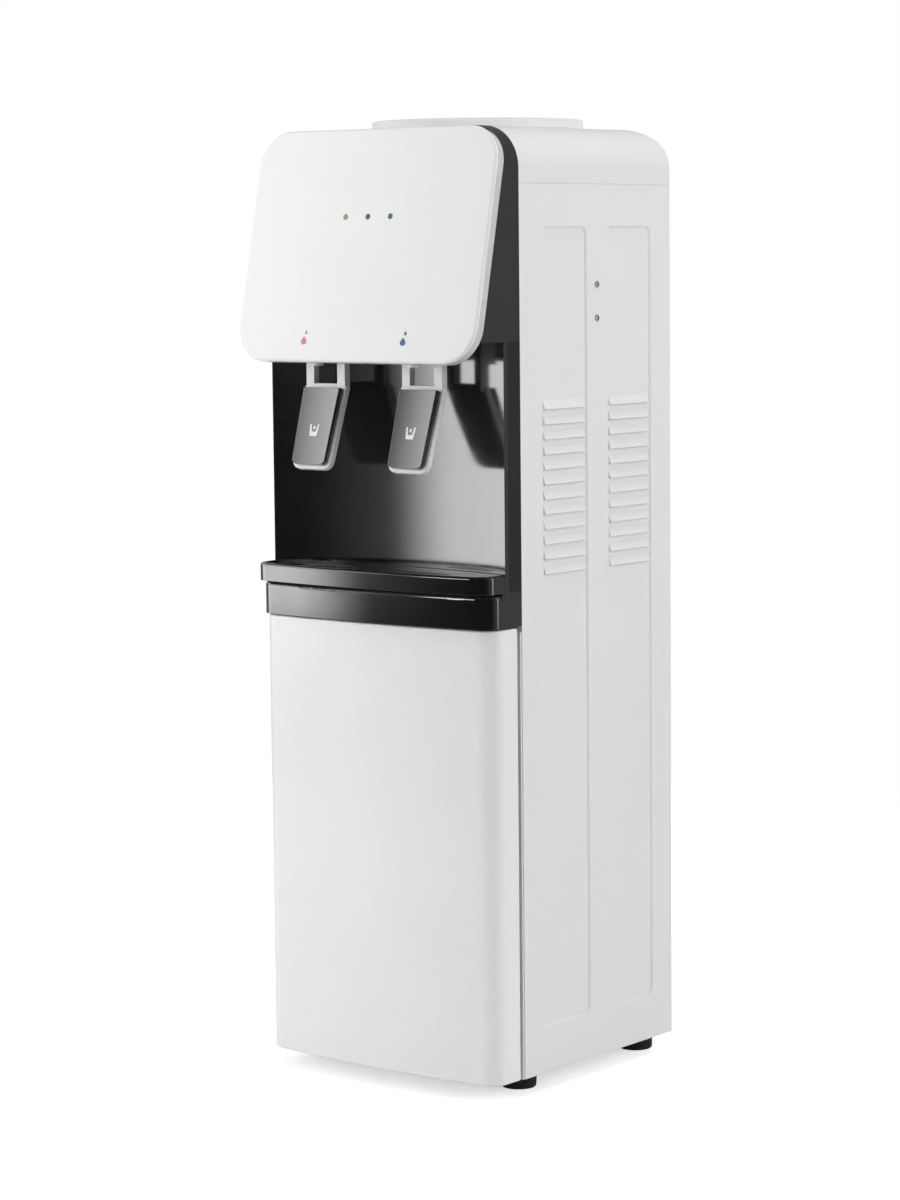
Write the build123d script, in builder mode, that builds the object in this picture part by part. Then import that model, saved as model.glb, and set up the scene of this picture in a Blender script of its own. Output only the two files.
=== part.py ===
"""Floor-standing bottle water cooler with a storage cabinet, two lever taps and a drip tray.

Millimetres, +Z up. The front faces -Y. The origin lies on the floor, in the middle of the footprint.
"""
import os
from math import cos, radians, sin, sqrt

from build123d import *

os.makedirs("parts", exist_ok=True)

# Overall sizes
body_width = 303.0
side_depth = 257.5
front_overhang = 79.5
floor_gap = 18.0
side_height = 896.5
cover_height = 57.5
collar_height = 10.0

# Walls and clearances
sheet = 1.0
wall = 2.5
loose = 0.3
slip = 0.05

# Side panels: two embossed fields, each with a column of louvres
emboss_depth = 2.0
field_margin = 34.75
field_corner = 8.0
field_taper = 40.0
rib_width = 34.0
field_top_margin = 42.0
field_bottom_margin = 47.0
louvre_count = 12
louvre_pitch = 15.0
louvre_margin = 4.5
louvre_height = 9.0
louvre_out = 3.0
louvre_drop = 214.5
front_flange = 5.0
rear_flange = 12.0
rear_recess = 6.0

# Screws
screw_radius = 1.75
screw_head_radius = 3.5
screw_head_height = 1.6
screw_length = 9.0
side_screw_drops = (100.5, 134.5)
rear_screw_count = 4
rear_screw_margin = 40.0

# Top cover and bottle seat
dome_radius = 42.0
dome_rear_radius = 28.0
seat_hole_radius = 99.5
collar_radius = 109.0
collar_land = 8.0
collar_round = 3.0
cover_seam = 0.5
neck_radius = 34.0
funnel_depth = 60.0
neck_length = 54.0
neck_dip = 8.0
seat_wall = 3.0
spike_radius = 11.0
spike_height = 64.0
spike_tip = 10.0
spike_base = 4.0

# Head and fascia
head_height = 212.0
fascia_overhang = 2.5
fascia_drop = 20.0
fascia_tilt = 11.9
fascia_corner = 38.0
fascia_thickness = 3.5
fascia_depth = 13.0
fascia_edge = 2.5
bezel_inset = 0.8
led_radius = 3.0
led_spacing = 29.0
led_drop = 88.0

# Niche panel and front frame
niche_height = 247.5
niche_reach = 26.5
niche_sagitta = 18.0
niche_thickness = 6.0
post_width = 23.0
rail_height = 18.0

# Drip tray and its housing
lip_height = 18.5
housing_height = 34.5
tray_reach = 69.0
housing_reach = 61.0
front_bow = 9.5
front_corner = 20.0
housing_top_round = 6.0
housing_floor = 4.0
tub_gap = 4.0
tray_edge = 3.0
tub_front_gap = 17.5
tub_side_gap = 28.5
tub_depth = 21.0
tub_corner = 4.0
tub_wall = 2.0
ledge_inset = 5.0
grille_thickness = 3.5
grille_drop = 1.5
slot_width = 5.0
slot_pitch = 9.0
slot_count = 7
lift_hole_width = 20.0
lift_hole_depth = 15.0
lift_hole_inset = 3.0

# Door and hinge
door_reach = 56.0
grip_gap = 8.0
door_lift = 0.4
door_top_gap = 1.5
door_edge = 1.8
hinge_inset = 11.5
hinge_pin_radius = 3.0
hinge_pin_length = 12.0
hinge_boss_radius = 7.0
bracket_thickness = 3.0
bracket_width = 22.0
bracket_front = 10.0
bracket_back = 17.0
catch_inset = 56.5
catch_width = 40.0
catch_height = 12.0
strike_thickness = 1.0

# Storage cabinet and decks
pan_height = 18.0
liner_wall = 2.0
liner_side_gap = 5.5
liner_rear_gap = 21.5
deck_thickness = 2.0
deck_drop = 6.0
shelf_rise = 124.0
shelf_inset = 29.0

# Feet
foot_radius = 20.0
foot_taper = 2.0
foot_side_inset = 34.0
foot_front_inset = 33.0
foot_rear_inset = 20.0

# Taps
tap_x = 63.0
pivot_reach = 40.5
pivot_rise = 8.0
pin_radius = 2.5
lever_lean = 17.4
pad_ahead = 10.5
pad_drop = 55.0
pad_length = 80.0
pad_top_width = 48.0
pad_bottom_width = 43.5
pad_corner = 6.0
pad_thickness = 6.0
pad_hollow = 0.8
paddle_rim = 3.5
paddle_edge = 1.2
paddle_thickness = 6.0
arm_width = 10.0
arm_depth = 8.0
arm_outer = 25.5
arm_rise = 21.0
bar_height = 7.0
stem_rise = 17.0
stem_radius = 2.0
stem_head_radius = 5.5
stem_head_length = 3.0
stem_inside = 12.0
stem_slot = 1.6
valve_width = 28.0
valve_depth = 26.5
valve_drop = 4.0
valve_rise = 29.0
nose_width = 22.0
nose_height = 12.0
nozzle_ahead = 16.5
nozzle_radius = 6.0
nozzle_bore = 3.5
nozzle_drop = 33.0
barb_radius = 4.5
barb_length = 5.0
barb_rise = 4.0
tap_window = 62.0

# Tanks, cooling and hoses
tank_wall = 1.2
insulation_thickness = 18.0
insulation_floor = 4.0
module_rise = 59.0
module_size = 40.0
module_thickness = 3.8
cold_block_size = 44.0
cold_block_thickness = 8.0
sink_size = 100.0
sink_base = 5.0
sink_depth = 28.7
fin_count = 13
fin_thickness = 1.5
fan_size = 92.0
fan_depth = 25.0
fan_bore = 42.5
fan_corner = 5.0
fan_hub_radius = 18.0
fan_blade_radius = 40.5
fan_blade_count = 7
fan_blade_thickness = 1.6
fan_blade_pitch = 38.0
fan_rotor_depth = 17.0
fan_strut = 5.0
fan_motor_depth = 5.0
fan_shaft_radius = 2.0
fan_shaft_length = 4.0
hot_radius = 52.0
hot_gap = 8.0
band_thickness = 2.5
band_height = 40.0
band_rise = 28.0
hot_stub_rise = 96.0
cold_stub_rise = 32.0
hose_radius = 7.0
hose_inset = 17.0
hose_bend = 12.0
feed_inset = 14.25
feed_radius = 6.0
box_inset = 79.5
box_size = (104.0, 92.0, 50.0)
box_round = 4.0

# Rear fittings
drain_radius = 6.0
drain_rise = 20.0
drain_out = 3.0
cap_radius = 10.0
cap_grips = 12
switch_inset = 47.5
switch_spacing = 34.0
switch_drop = 114.5
switch_width = 13.0
switch_height = 21.0
switch_depth = 16.0
switch_rim = 2.5
switch_proud = 2.0
rocker_tilt = 9.0
rocker_thickness = 5.0
rocker_gap = 0.5
rocker_pin_radius = 1.2
gland_inset = 51.5
gland_rise = 28.0
gland_radius = 8.0
gland_flange = 3.0
gland_bore = 4.0
grille_slots = 11
grille_slot_height = 4.0
grille_slot_pitch = 8.0

# Places that follow from the sizes above: the shell
half_width = body_width / 2
total_depth = side_depth + front_overhang
front_y = -total_depth / 2
rear_y = total_depth / 2
side_front_y = rear_y - side_depth
mid_y = (side_front_y + rear_y) / 2
side_top_z = floor_gap + side_height
cover_top_z = side_top_z + cover_height
collar_top_z = cover_top_z + collar_height
skin_x = half_width - sheet
inner_x = skin_x - emboss_depth
field_floor_x = half_width - emboss_depth
rear_out_y = rear_y - rear_recess
rear_in_y = rear_out_y - sheet
pan_top_z = floor_gap + pan_height

# The front, from the head down to the door
head_bottom_z = cover_top_z - head_height
head_back_y = side_front_y - wall
fascia_bottom_z = head_bottom_z - fascia_drop
housing_top_z = head_bottom_z - niche_height
housing_bottom_z = housing_top_z - housing_height
tray_top_z = housing_top_z + lip_height
tray_bottom_z = housing_bottom_z + housing_floor + tub_gap
tray_front_y = side_front_y - tray_reach
tub_mid_y = tray_front_y + tub_front_gap + tub_depth / 2
niche_edge_y = side_front_y - niche_reach
niche_mid_y = niche_edge_y + niche_sagitta
niche_radius = (half_width**2 + niche_sagitta**2) / (2 * niche_sagitta)
door_front_y = side_front_y - door_reach
door_back_y = side_front_y - grip_gap
door_bottom_z = floor_gap + door_lift
door_top_z = housing_bottom_z - door_top_gap
hinge_x = hinge_inset - half_width
hinge_y = door_back_y - hinge_inset

# The taps, from the lever pivots
tap_sides = (("hot", -1), ("cold", 1))
pivot_y = side_front_y - pivot_reach
pivot_z = head_bottom_z + pivot_rise
arm_top_z = pivot_z + arm_rise
stem_z = pivot_z + stem_rise
nozzle_y = pivot_y - nozzle_ahead
nozzle_bottom_z = pivot_z - nozzle_drop
barb_z = pivot_z + barb_rise

# The inside: the cold tank stands under the bottle seat, the hot tank under its own tap
deck_z = housing_bottom_z - deck_drop
shelf_z = deck_z + shelf_rise
neck_top_z = collar_top_z - funnel_depth
neck_bottom_z = neck_top_z - neck_length
tank_bottom_z = shelf_z + insulation_floor
tank_top_z = neck_bottom_z + neck_dip
tank_height = tank_top_z - tank_bottom_z
fan_front_y = rear_in_y - fan_depth
sink_front_y = fan_front_y - sink_depth
cold_block_back_y = sink_front_y - module_thickness
tank_radius = cold_block_back_y - cold_block_thickness - mid_y
module_z = shelf_z + module_rise
hot_x = -tap_x
hot_height = shelf_rise - deck_thickness - hot_gap
feed_x = feed_inset - tank_radius
hose_y = side_front_y + hose_inset
drain_z = deck_z + drain_rise
switch_xs = (half_width - switch_inset - switch_spacing, half_width - switch_inset)
switch_z = side_top_z - switch_drop
gland_x = half_width - gland_inset
gland_z = deck_z + gland_rise


def save(piece, name):
    """Label a finished piece and write it."""
    piece.part.label = name
    export_step(piece.part, f"parts/{name}.step")


def dome_section(inset, bottom_z):
    """Cross-section of the top: upright sides and rounded upper corners, drawn as X and Z."""
    half = half_width - inset
    top = cover_top_z - inset
    with BuildSketch() as section:
        with BuildLine():
            arch = FilletPolyline(
                (-half, bottom_z), (-half, top), (half, top), (half, bottom_z), radius=dome_radius - inset
            )
            Line(arch @ 1, arch @ 0)
        make_face()
    return section.sketch


def cover_side(inset, bottom_z):
    """Side view of the cover with its rounded rear upper corner, drawn as Y and Z."""
    top = cover_top_z - inset
    rear = rear_y - inset
    with BuildSketch() as section:
        with BuildLine():
            edge = FilletPolyline(
                (side_front_y, top), (rear, top), (rear, bottom_z), radius=dome_rear_radius - inset
            )
            Polyline(edge @ 1, (side_front_y, bottom_z), edge @ 0)
        make_face()
    return section.sketch


def bowed_plan(front, back, half, corner):
    """Plan with a bowed front edge and rounded front corners."""
    with BuildSketch() as plan:
        with BuildLine():
            Polyline((half, front + front_bow), (half, back), (-half, back), (-half, front + front_bow))
            ThreePointArc((-half, front + front_bow), (0, front), (half, front + front_bow))
        make_face()
        fillet(plan.vertices().group_by(Axis.Y)[0], corner)
    return plan.sketch


def niche_circle(shift):
    """Plan circle whose rear arc is the face of the niche panel, moved back by shift."""
    with BuildSketch() as plan:
        with Locations((0, niche_mid_y + shift - niche_radius)):
            Circle(niche_radius)
    return plan.sketch


def tray_plan(inset):
    """Plan of the drip tray: bowed front, rear edge along the niche panel."""
    with BuildSketch() as plan:
        add(bowed_plan(tray_front_y + inset, head_back_y, half_width - inset, front_corner - inset))
        add(niche_circle(-loose - inset), mode=Mode.INTERSECT)
    return plan.sketch


def tub_plan(outset):
    """Plan of the straight-sided tub that hangs from the drip tray."""
    with BuildSketch() as plan:
        with Locations((0, tub_mid_y)):
            RectangleRounded(
                2 * (half_width - tub_side_gap + outset), tub_depth + 2 * outset, tub_corner + outset
            )
    return plan.sketch


def hose_start(tank_x, tap_at, height):
    """Plane across a hose on the axis of its tank, facing the place where the hose turns up to its tap."""
    return Plane(origin=(tank_x, mid_y, height), z_dir=(tap_at - tank_x, hose_y - mid_y, 0))


# Base pan: shallow tray under the storage cabinet
pan_rear_y = rear_in_y - sheet
pan_front_y = side_front_y + sheet
with BuildPart() as base_pan:
    with BuildSketch(Plane.XY.offset(floor_gap)):
        with Locations((0, (pan_front_y + pan_rear_y) / 2)):
            Rectangle(2 * skin_x, pan_rear_y - pan_front_y)
    extrude(amount=pan_height)
    with BuildSketch(Plane.XY.offset(floor_gap + wall)):
        with Locations((0, (pan_front_y + pan_rear_y) / 2)):
            Rectangle(2 * (skin_x - wall), pan_rear_y - pan_front_y - 2 * wall)
    extrude(amount=pan_height, mode=Mode.SUBTRACT)
save(base_pan, "base_pan")

# Feet
foot_x = half_width - foot_side_inset
foot_ys = (side_front_y + foot_front_inset, rear_y - foot_rear_inset)
foot_places = [(x, y, 0) for x in (-foot_x, foot_x) for y in foot_ys]
with BuildPart() as feet:
    with Locations(*foot_places):
        Cone(foot_radius - foot_taper, foot_radius, floor_gap, align=(Align.CENTER, Align.CENTER, Align.MIN))
save(feet, "feet")

# Side panels: flat skin with turned flanges, two fields pushed inwards, and pressed louvres
field_width = (side_depth - rib_width) / 2 - field_margin
field_height = side_height - field_top_margin - field_bottom_margin
field_mid_z = floor_gap + field_bottom_margin + field_height / 2
field_offset = (rib_width + field_width) / 2
field_places = [(mid_y - field_offset, field_mid_z), (mid_y + field_offset, field_mid_z)]
louvre_top_z = side_top_z - louvre_drop
louvre_places = [(field_floor_x, louvre_top_z - i * louvre_pitch) for i in range(louvre_count)]
louvre_lip = louvre_height * sheet / louvre_out
louvre_half = field_width / 2 - louvre_margin
side_screw_places = [(mid_y, side_top_z - drop) for drop in side_screw_drops]
rear_screw_pitch = (side_height - 2 * rear_screw_margin) / (rear_screw_count - 1)
rear_screw_zs = [floor_gap + rear_screw_margin + i * rear_screw_pitch for i in range(rear_screw_count)]
rear_screw_x = skin_x - rear_flange / 2
flanges = ((side_front_y, front_flange), (rear_in_y - sheet, rear_flange))
with BuildPart() as side_panel_right:
    with BuildSketch(Plane.YZ.offset(skin_x)):
        with Locations((mid_y, floor_gap + side_height / 2)):
            Rectangle(side_depth, side_height)
    extrude(amount=sheet)
    for y, flange in flanges:
        with BuildSketch(Plane.XY.offset(floor_gap)):
            with Locations((skin_x, y)):
                Rectangle(flange, sheet, align=(Align.MAX, Align.MIN))
        extrude(amount=side_height)
    with BuildSketch(Plane.YZ.offset(inner_x)):
        with Locations(*field_places):
            RectangleRounded(field_width + 2 * sheet, field_height + 2 * sheet, field_corner + sheet)
    extrude(amount=emboss_depth)
    with BuildSketch(Plane.YZ.offset(half_width)):
        with Locations(*field_places):
            RectangleRounded(field_width, field_height, field_corner)
    extrude(amount=-emboss_depth, taper=field_taper, mode=Mode.SUBTRACT)
    for column_y, _ in field_places:
        with BuildSketch(Plane.XZ.offset(-column_y)):
            with Locations(*louvre_places):
                Polygon((0, 0), (0, -louvre_height), (louvre_out, -louvre_height), align=None)
        extrude(amount=louvre_half, both=True)
        with BuildSketch(Plane.XZ.offset(-column_y)):
            with Locations(*louvre_places):
                Polygon(
                    (-2 * sheet, -louvre_lip),
                    (-2 * sheet, -louvre_height),
                    (louvre_out - sheet, -louvre_height),
                    (0, -louvre_lip),
                    align=None,
                )
        extrude(amount=louvre_half - sheet, both=True, mode=Mode.SUBTRACT)
    with BuildSketch(Plane.YZ.offset(half_width)):
        with Locations(*side_screw_places):
            Circle(screw_radius + slip)
    extrude(amount=-sheet, mode=Mode.SUBTRACT)
    with BuildSketch(Plane.XZ.offset(-rear_in_y)):
        with Locations(*[(rear_screw_x, z) for z in rear_screw_zs]):
            Circle(screw_radius + slip)
    extrude(amount=sheet, mode=Mode.SUBTRACT)
save(side_panel_right, "side_panel_right")

with BuildPart() as side_panel_left:
    mirror(side_panel_right.part, about=Plane.YZ)
save(side_panel_left, "side_panel_left")

# Rear panel: sheet with the fan grille and the holes for the rear fittings
rear_screw_places = [(side * rear_screw_x, z) for side in (-1, 1) for z in rear_screw_zs]
switch_places = [(x, switch_z) for x in switch_xs]
with BuildPart() as rear_panel:
    with BuildSketch(Plane.XZ.offset(-rear_out_y)):
        with Locations((0, (floor_gap + side_top_z) / 2)):
            Rectangle(2 * skin_x, side_height)
        with Locations(*rear_screw_places):
            Circle(screw_radius + slip, mode=Mode.SUBTRACT)
        with Locations(*switch_places):
            Rectangle(switch_width + 2 * slip, switch_height + 2 * slip, mode=Mode.SUBTRACT)
        with Locations((hot_x, drain_z)):
            Circle(drain_radius + slip, mode=Mode.SUBTRACT)
        with Locations((gland_x, gland_z)):
            Circle(gland_radius + slip, mode=Mode.SUBTRACT)
        for i in range(grille_slots):
            row = (i - (grille_slots - 1) / 2) * grille_slot_pitch
            half_row = sqrt((fan_bore + grille_slot_height / 2) ** 2 - row**2)
            with Locations((0, module_z + row)):
                SlotOverall(2 * half_row, grille_slot_height, mode=Mode.SUBTRACT)
    extrude(amount=sheet)
save(rear_panel, "rear_panel")

# Screws
with BuildPart() as rear_screws:
    with BuildSketch(Plane.XZ.offset(-rear_out_y)):
        with Locations(*rear_screw_places):
            Circle(screw_head_radius)
    extrude(amount=-screw_head_height)
    with BuildSketch(Plane.XZ.offset(-rear_out_y)):
        with Locations(*rear_screw_places):
            Circle(screw_radius)
    extrude(amount=screw_length)
save(rear_screws, "rear_screws")

with BuildPart() as side_screws:
    for side in (-1, 1):
        with BuildSketch(Plane.YZ.offset(side * half_width)):
            with Locations(*side_screw_places):
                Circle(screw_head_radius)
        extrude(amount=side * screw_head_height)
        with BuildSketch(Plane.YZ.offset(side * half_width)):
            with Locations(*side_screw_places):
                Circle(screw_radius)
        extrude(amount=-side * screw_length)
save(side_screws, "side_screws")

# Top cover: domed shell, open below and towards the head, with the hole for the bottle seat
with BuildPart() as cover_hollow:
    with BuildSketch(Plane.XZ.offset(-rear_y)):
        add(dome_section(wall, side_top_z))
    extrude(amount=side_depth)
    with BuildSketch(Plane.YZ):
        add(cover_side(wall, side_top_z))
    extrude(amount=half_width, both=True, mode=Mode.INTERSECT)
with BuildPart() as top_cover:
    with BuildSketch(Plane.XZ.offset(-rear_y)):
        add(dome_section(0, side_top_z))
    extrude(amount=side_depth)
    with BuildSketch(Plane.YZ):
        add(cover_side(0, side_top_z))
    extrude(amount=half_width, both=True, mode=Mode.INTERSECT)
    add(cover_hollow.part, mode=Mode.SUBTRACT)
    with Locations((0, mid_y, cover_top_z)):
        Hole(seat_hole_radius, depth=cover_height)
    foot_edges = top_cover.edges().filter_by(Axis.Y).group_by(Axis.Z)[0].sort_by(Axis.X)
    chamfer((foot_edges[0], foot_edges[-1]), cover_seam)
save(top_cover, "top_cover")

# Bottle seat: collar, conical funnel and neck that drips into the cold tank
cone_run = collar_radius - collar_land - neck_radius
cone_rise = collar_top_z - neck_top_z
seat_flange_z = cover_top_z + loose
seat_outer_radius = neck_radius + cone_run * (seat_flange_z - neck_top_z) / cone_rise
with BuildPart() as bottle_seat:
    with BuildSketch(Plane.XZ.offset(-mid_y)) as seat_profile:
        with BuildLine():
            Polyline(
                (neck_radius, neck_bottom_z),
                (neck_radius, neck_top_z),
                (seat_outer_radius, seat_flange_z),
                (collar_radius, seat_flange_z),
                (collar_radius, collar_top_z),
                (collar_radius - collar_land, collar_top_z),
                (neck_radius - seat_wall, neck_top_z + seat_wall),
                (neck_radius - seat_wall, neck_bottom_z),
                (neck_radius, neck_bottom_z),
            )
        make_face()
        fillet(seat_profile.vertices().group_by(Axis.Y)[-1], collar_round)
    revolve(axis=Axis((0, mid_y, 0), (0, 0, 1)))
save(bottle_seat, "bottle_seat")

# Feed spike: pierces the bottle cap, and stands on a pierced disc in the neck
spike_inner = neck_radius - seat_wall
with BuildPart() as feed_spike:
    with BuildSketch(Plane.XY.offset(neck_bottom_z)):
        with Locations((0, mid_y)):
            Circle(spike_inner)
            with PolarLocations((spike_inner + spike_radius) / 2, 6):
                Circle((spike_inner - spike_radius) / 4, mode=Mode.SUBTRACT)
    extrude(amount=spike_base)
    with Locations((0, mid_y, neck_bottom_z + spike_base)):
        Cylinder(spike_radius, spike_height, align=(Align.CENTER, Align.CENTER, Align.MIN))
    with Locations((0, mid_y, neck_bottom_z + spike_base + spike_height)):
        Cone(spike_radius, spike_radius / 2, spike_tip, align=(Align.CENTER, Align.CENTER, Align.MIN))
    with BuildSketch(Plane.XZ.offset(-mid_y)):
        with Locations((0, neck_bottom_z + spike_base + spike_height / 2)):
            SlotOverall(spike_height - spike_tip, spike_radius / 2, rotation=90)
    extrude(amount=2 * spike_radius, both=True, mode=Mode.SUBTRACT)
save(feed_spike, "feed_spike")

# Fascia: its front plane leans back towards the top
lean_sin = sin(radians(fascia_tilt))
lean_cos = cos(radians(fascia_tilt))
fascia_width = body_width + 2 * fascia_overhang
fascia_height = (cover_top_z - fascia_bottom_z) / lean_cos
fascia_corner_y = front_y - fascia_edge * (lean_cos + lean_sin - 1)
fascia_plane = Plane(
    origin=(0, fascia_corner_y, fascia_bottom_z), x_dir=(1, 0, 0), z_dir=(0, -lean_cos, lean_sin)
)
led_row = (cover_top_z - led_drop - fascia_bottom_z) / lean_cos
led_places = [(i * led_spacing, led_row) for i in (-1, 0, 1)]
bezel_plane = fascia_plane.offset(-fascia_thickness)
fascia_back = fascia_plane.offset(-fascia_depth)


def fascia_outline(inset):
    """Rounded outline of the fascia in its own plane."""
    with BuildSketch() as outline:
        with Locations((0, fascia_height / 2)):
            RectangleRounded(fascia_width - 2 * inset, fascia_height - 2 * inset, fascia_corner - inset)
    return outline.sketch


with BuildPart() as fascia_panel:
    with BuildSketch(fascia_plane):
        add(fascia_outline(0))
    extrude(amount=-fascia_thickness)
    outward_axis = Axis(fascia_plane.origin, fascia_plane.z_dir)
    fillet(fascia_panel.faces().sort_by(outward_axis)[-1].edges(), fascia_edge)
    with BuildSketch(fascia_plane):
        with Locations(*led_places):
            Circle(led_radius + slip)
    extrude(amount=-fascia_thickness, mode=Mode.SUBTRACT)
save(fascia_panel, "fascia_panel")

with BuildPart() as fascia_bezel:
    with BuildSketch(bezel_plane):
        add(fascia_outline(bezel_inset))
    extrude(amount=fascia_thickness - fascia_depth)
    with BuildSketch(fascia_back):
        add(fascia_outline(bezel_inset + wall))
    extrude(amount=fascia_depth - fascia_thickness - wall, mode=Mode.SUBTRACT)
    with BuildSketch(bezel_plane):
        with Locations(*led_places):
            Circle(led_radius + slip)
    extrude(amount=-wall, mode=Mode.SUBTRACT)
save(fascia_bezel, "fascia_bezel")

with BuildPart() as led_lenses:
    with BuildSketch(fascia_plane):
        with Locations(*led_places):
            Circle(led_radius)
    extrude(amount=-fascia_thickness - wall)
save(led_lenses, "led_lenses")

led_board_plane = bezel_plane.offset(-wall)
with BuildPart() as led_board:
    with BuildSketch(led_board_plane):
        with Locations((0, led_row)):
            RectangleRounded(4 * led_spacing, led_spacing, led_radius)
    extrude(amount=-sheet)
save(led_board, "led_board")

# Head shell: cheeks, roof, floor with two tap windows, and the wall that carries the taps
head_reach = side_front_y - front_y
tap_window_back_y = niche_edge_y + niche_thickness
tap_window_front_y = front_y
with BuildPart() as head_shell:
    with BuildSketch(Plane.XZ.offset(-side_front_y)):
        add(dome_section(0, head_bottom_z))
    extrude(amount=head_reach)
    with BuildSketch(Plane.XZ.offset(-head_back_y)):
        add(dome_section(wall, head_bottom_z + wall))
    extrude(amount=head_reach, mode=Mode.SUBTRACT)
    split(bisect_by=fascia_back.offset(-loose), keep=Keep.BOTTOM)
    with BuildSketch(Plane.XY.offset(head_bottom_z)):
        with Locations(
            *[(side * tap_x, (tap_window_front_y + tap_window_back_y) / 2) for _, side in tap_sides]
        ):
            Rectangle(tap_window, tap_window_back_y - tap_window_front_y)
    extrude(amount=wall, mode=Mode.SUBTRACT)
    with BuildSketch(Plane.XZ.offset(-side_front_y)):
        with Locations(*[(side * tap_x, barb_z) for _, side in tap_sides]):
            Circle(hose_radius + loose)
    extrude(amount=wall, mode=Mode.SUBTRACT)
save(head_shell, "head_shell")

# Front frame: two posts and two rails, hollowed in front to the curve of the niche panel
with BuildPart() as front_frame:
    with BuildSketch(Plane.XY.offset(housing_top_z)):
        with Locations((0, side_front_y)):
            Rectangle(body_width, side_front_y - niche_edge_y, align=(Align.CENTER, Align.MAX))
        add(niche_circle(niche_thickness), mode=Mode.SUBTRACT)
    extrude(amount=niche_height)
    with BuildSketch(Plane.XZ.offset(-side_front_y)):
        with Locations((0, housing_top_z + niche_height / 2)):
            Rectangle(body_width - 2 * post_width, niche_height - 2 * rail_height)
    extrude(amount=side_front_y - niche_edge_y, mode=Mode.SUBTRACT)
save(front_frame, "front_frame")

# Niche panel: concave gloss sheet behind the taps
with BuildPart() as niche_panel:
    with BuildSketch(Plane.XY.offset(housing_top_z)):
        with Locations((0, niche_edge_y)):
            Rectangle(body_width, niche_sagitta + niche_thickness, align=(Align.CENTER, Align.MIN))
        add(niche_circle(niche_thickness), mode=Mode.INTERSECT)
        add(niche_circle(0), mode=Mode.SUBTRACT)
    extrude(amount=niche_height)
save(niche_panel, "niche_panel")

# Tray housing: bowed apron with a rounded upper edge, square behind it, and the pocket for the tray
housing_front_y = side_front_y - housing_reach
apron_back_y = housing_front_y + front_bow + front_corner
with BuildPart() as tray_housing:
    with BuildSketch(Plane.XY.offset(housing_bottom_z)):
        add(bowed_plan(housing_front_y, side_front_y, half_width, front_corner))
    extrude(amount=housing_height)
    top_edges = tray_housing.faces().sort_by(Axis.Z)[-1].edges().sort_by(Axis.Y)
    fillet(top_edges[:-1], housing_top_round)
    with BuildSketch(Plane.XY.offset(housing_bottom_z)):
        with Locations((0, side_front_y)):
            Rectangle(body_width, side_front_y - apron_back_y, align=(Align.CENTER, Align.MAX))
    extrude(amount=housing_height)
    with BuildSketch(Plane.XY.offset(housing_bottom_z + housing_floor)):
        add(tub_plan(2 * loose))
    extrude(amount=housing_height, mode=Mode.SUBTRACT)
    with BuildSketch(Plane.XY.offset(housing_bottom_z)):
        with Locations((hinge_x, hinge_y)):
            Circle(hinge_pin_radius)
    extrude(amount=housing_floor, mode=Mode.SUBTRACT)
save(tray_housing, "tray_housing")

# Drip tray: lipped rim over a tub that hangs in the housing
with BuildPart() as drip_tray:
    with BuildSketch(Plane.XY.offset(housing_top_z + loose)):
        add(tray_plan(0))
    extrude(amount=tray_top_z - housing_top_z - loose)
    fillet(drip_tray.edges().group_by(Axis.Z)[-1], tray_edge)
    with BuildSketch(Plane.XY.offset(tray_bottom_z)):
        add(tub_plan(0))
    extrude(amount=housing_top_z + loose - tray_bottom_z)
    with BuildSketch(Plane.XY.offset(tray_bottom_z + tub_wall)):
        add(tub_plan(-tub_wall))
    extrude(amount=tray_top_z - tray_bottom_z, mode=Mode.SUBTRACT)
    with BuildSketch(Plane.XY.offset(tray_top_z - grille_drop - grille_thickness)):
        add(tray_plan(ledge_inset))
    extrude(amount=tray_top_z, mode=Mode.SUBTRACT)
save(drip_tray, "drip_tray")

# Drip grille: plate with an oval group of slots under each tap, and a finger hole to lift it by
slot_length = tub_depth - 2 * tub_wall
oval_half = slot_pitch * slot_count / 2
slot_offsets = [(i + 0.5) * slot_pitch - oval_half for i in range(slot_count)]
tub_end_x = half_width - tub_side_gap - tub_wall
with BuildPart() as drip_grille:
    with BuildSketch(Plane.XY.offset(tray_top_z - grille_drop - grille_thickness + loose)):
        add(tray_plan(ledge_inset + loose))
        for _, side in tap_sides:
            for offset in slot_offsets:
                with Locations((side * tap_x + offset, tub_mid_y)):
                    SlotOverall(
                        slot_length * sqrt(1 - (offset / oval_half) ** 2), slot_width, rotation=90,
                        mode=Mode.SUBTRACT,
                    )
        with Locations((lift_hole_inset + lift_hole_width / 2 - tub_end_x, tub_mid_y)):
            RectangleRounded(lift_hole_width, lift_hole_depth, slot_width, mode=Mode.SUBTRACT)
    extrude(amount=grille_thickness - loose)
save(drip_grille, "drip_grille")

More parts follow.
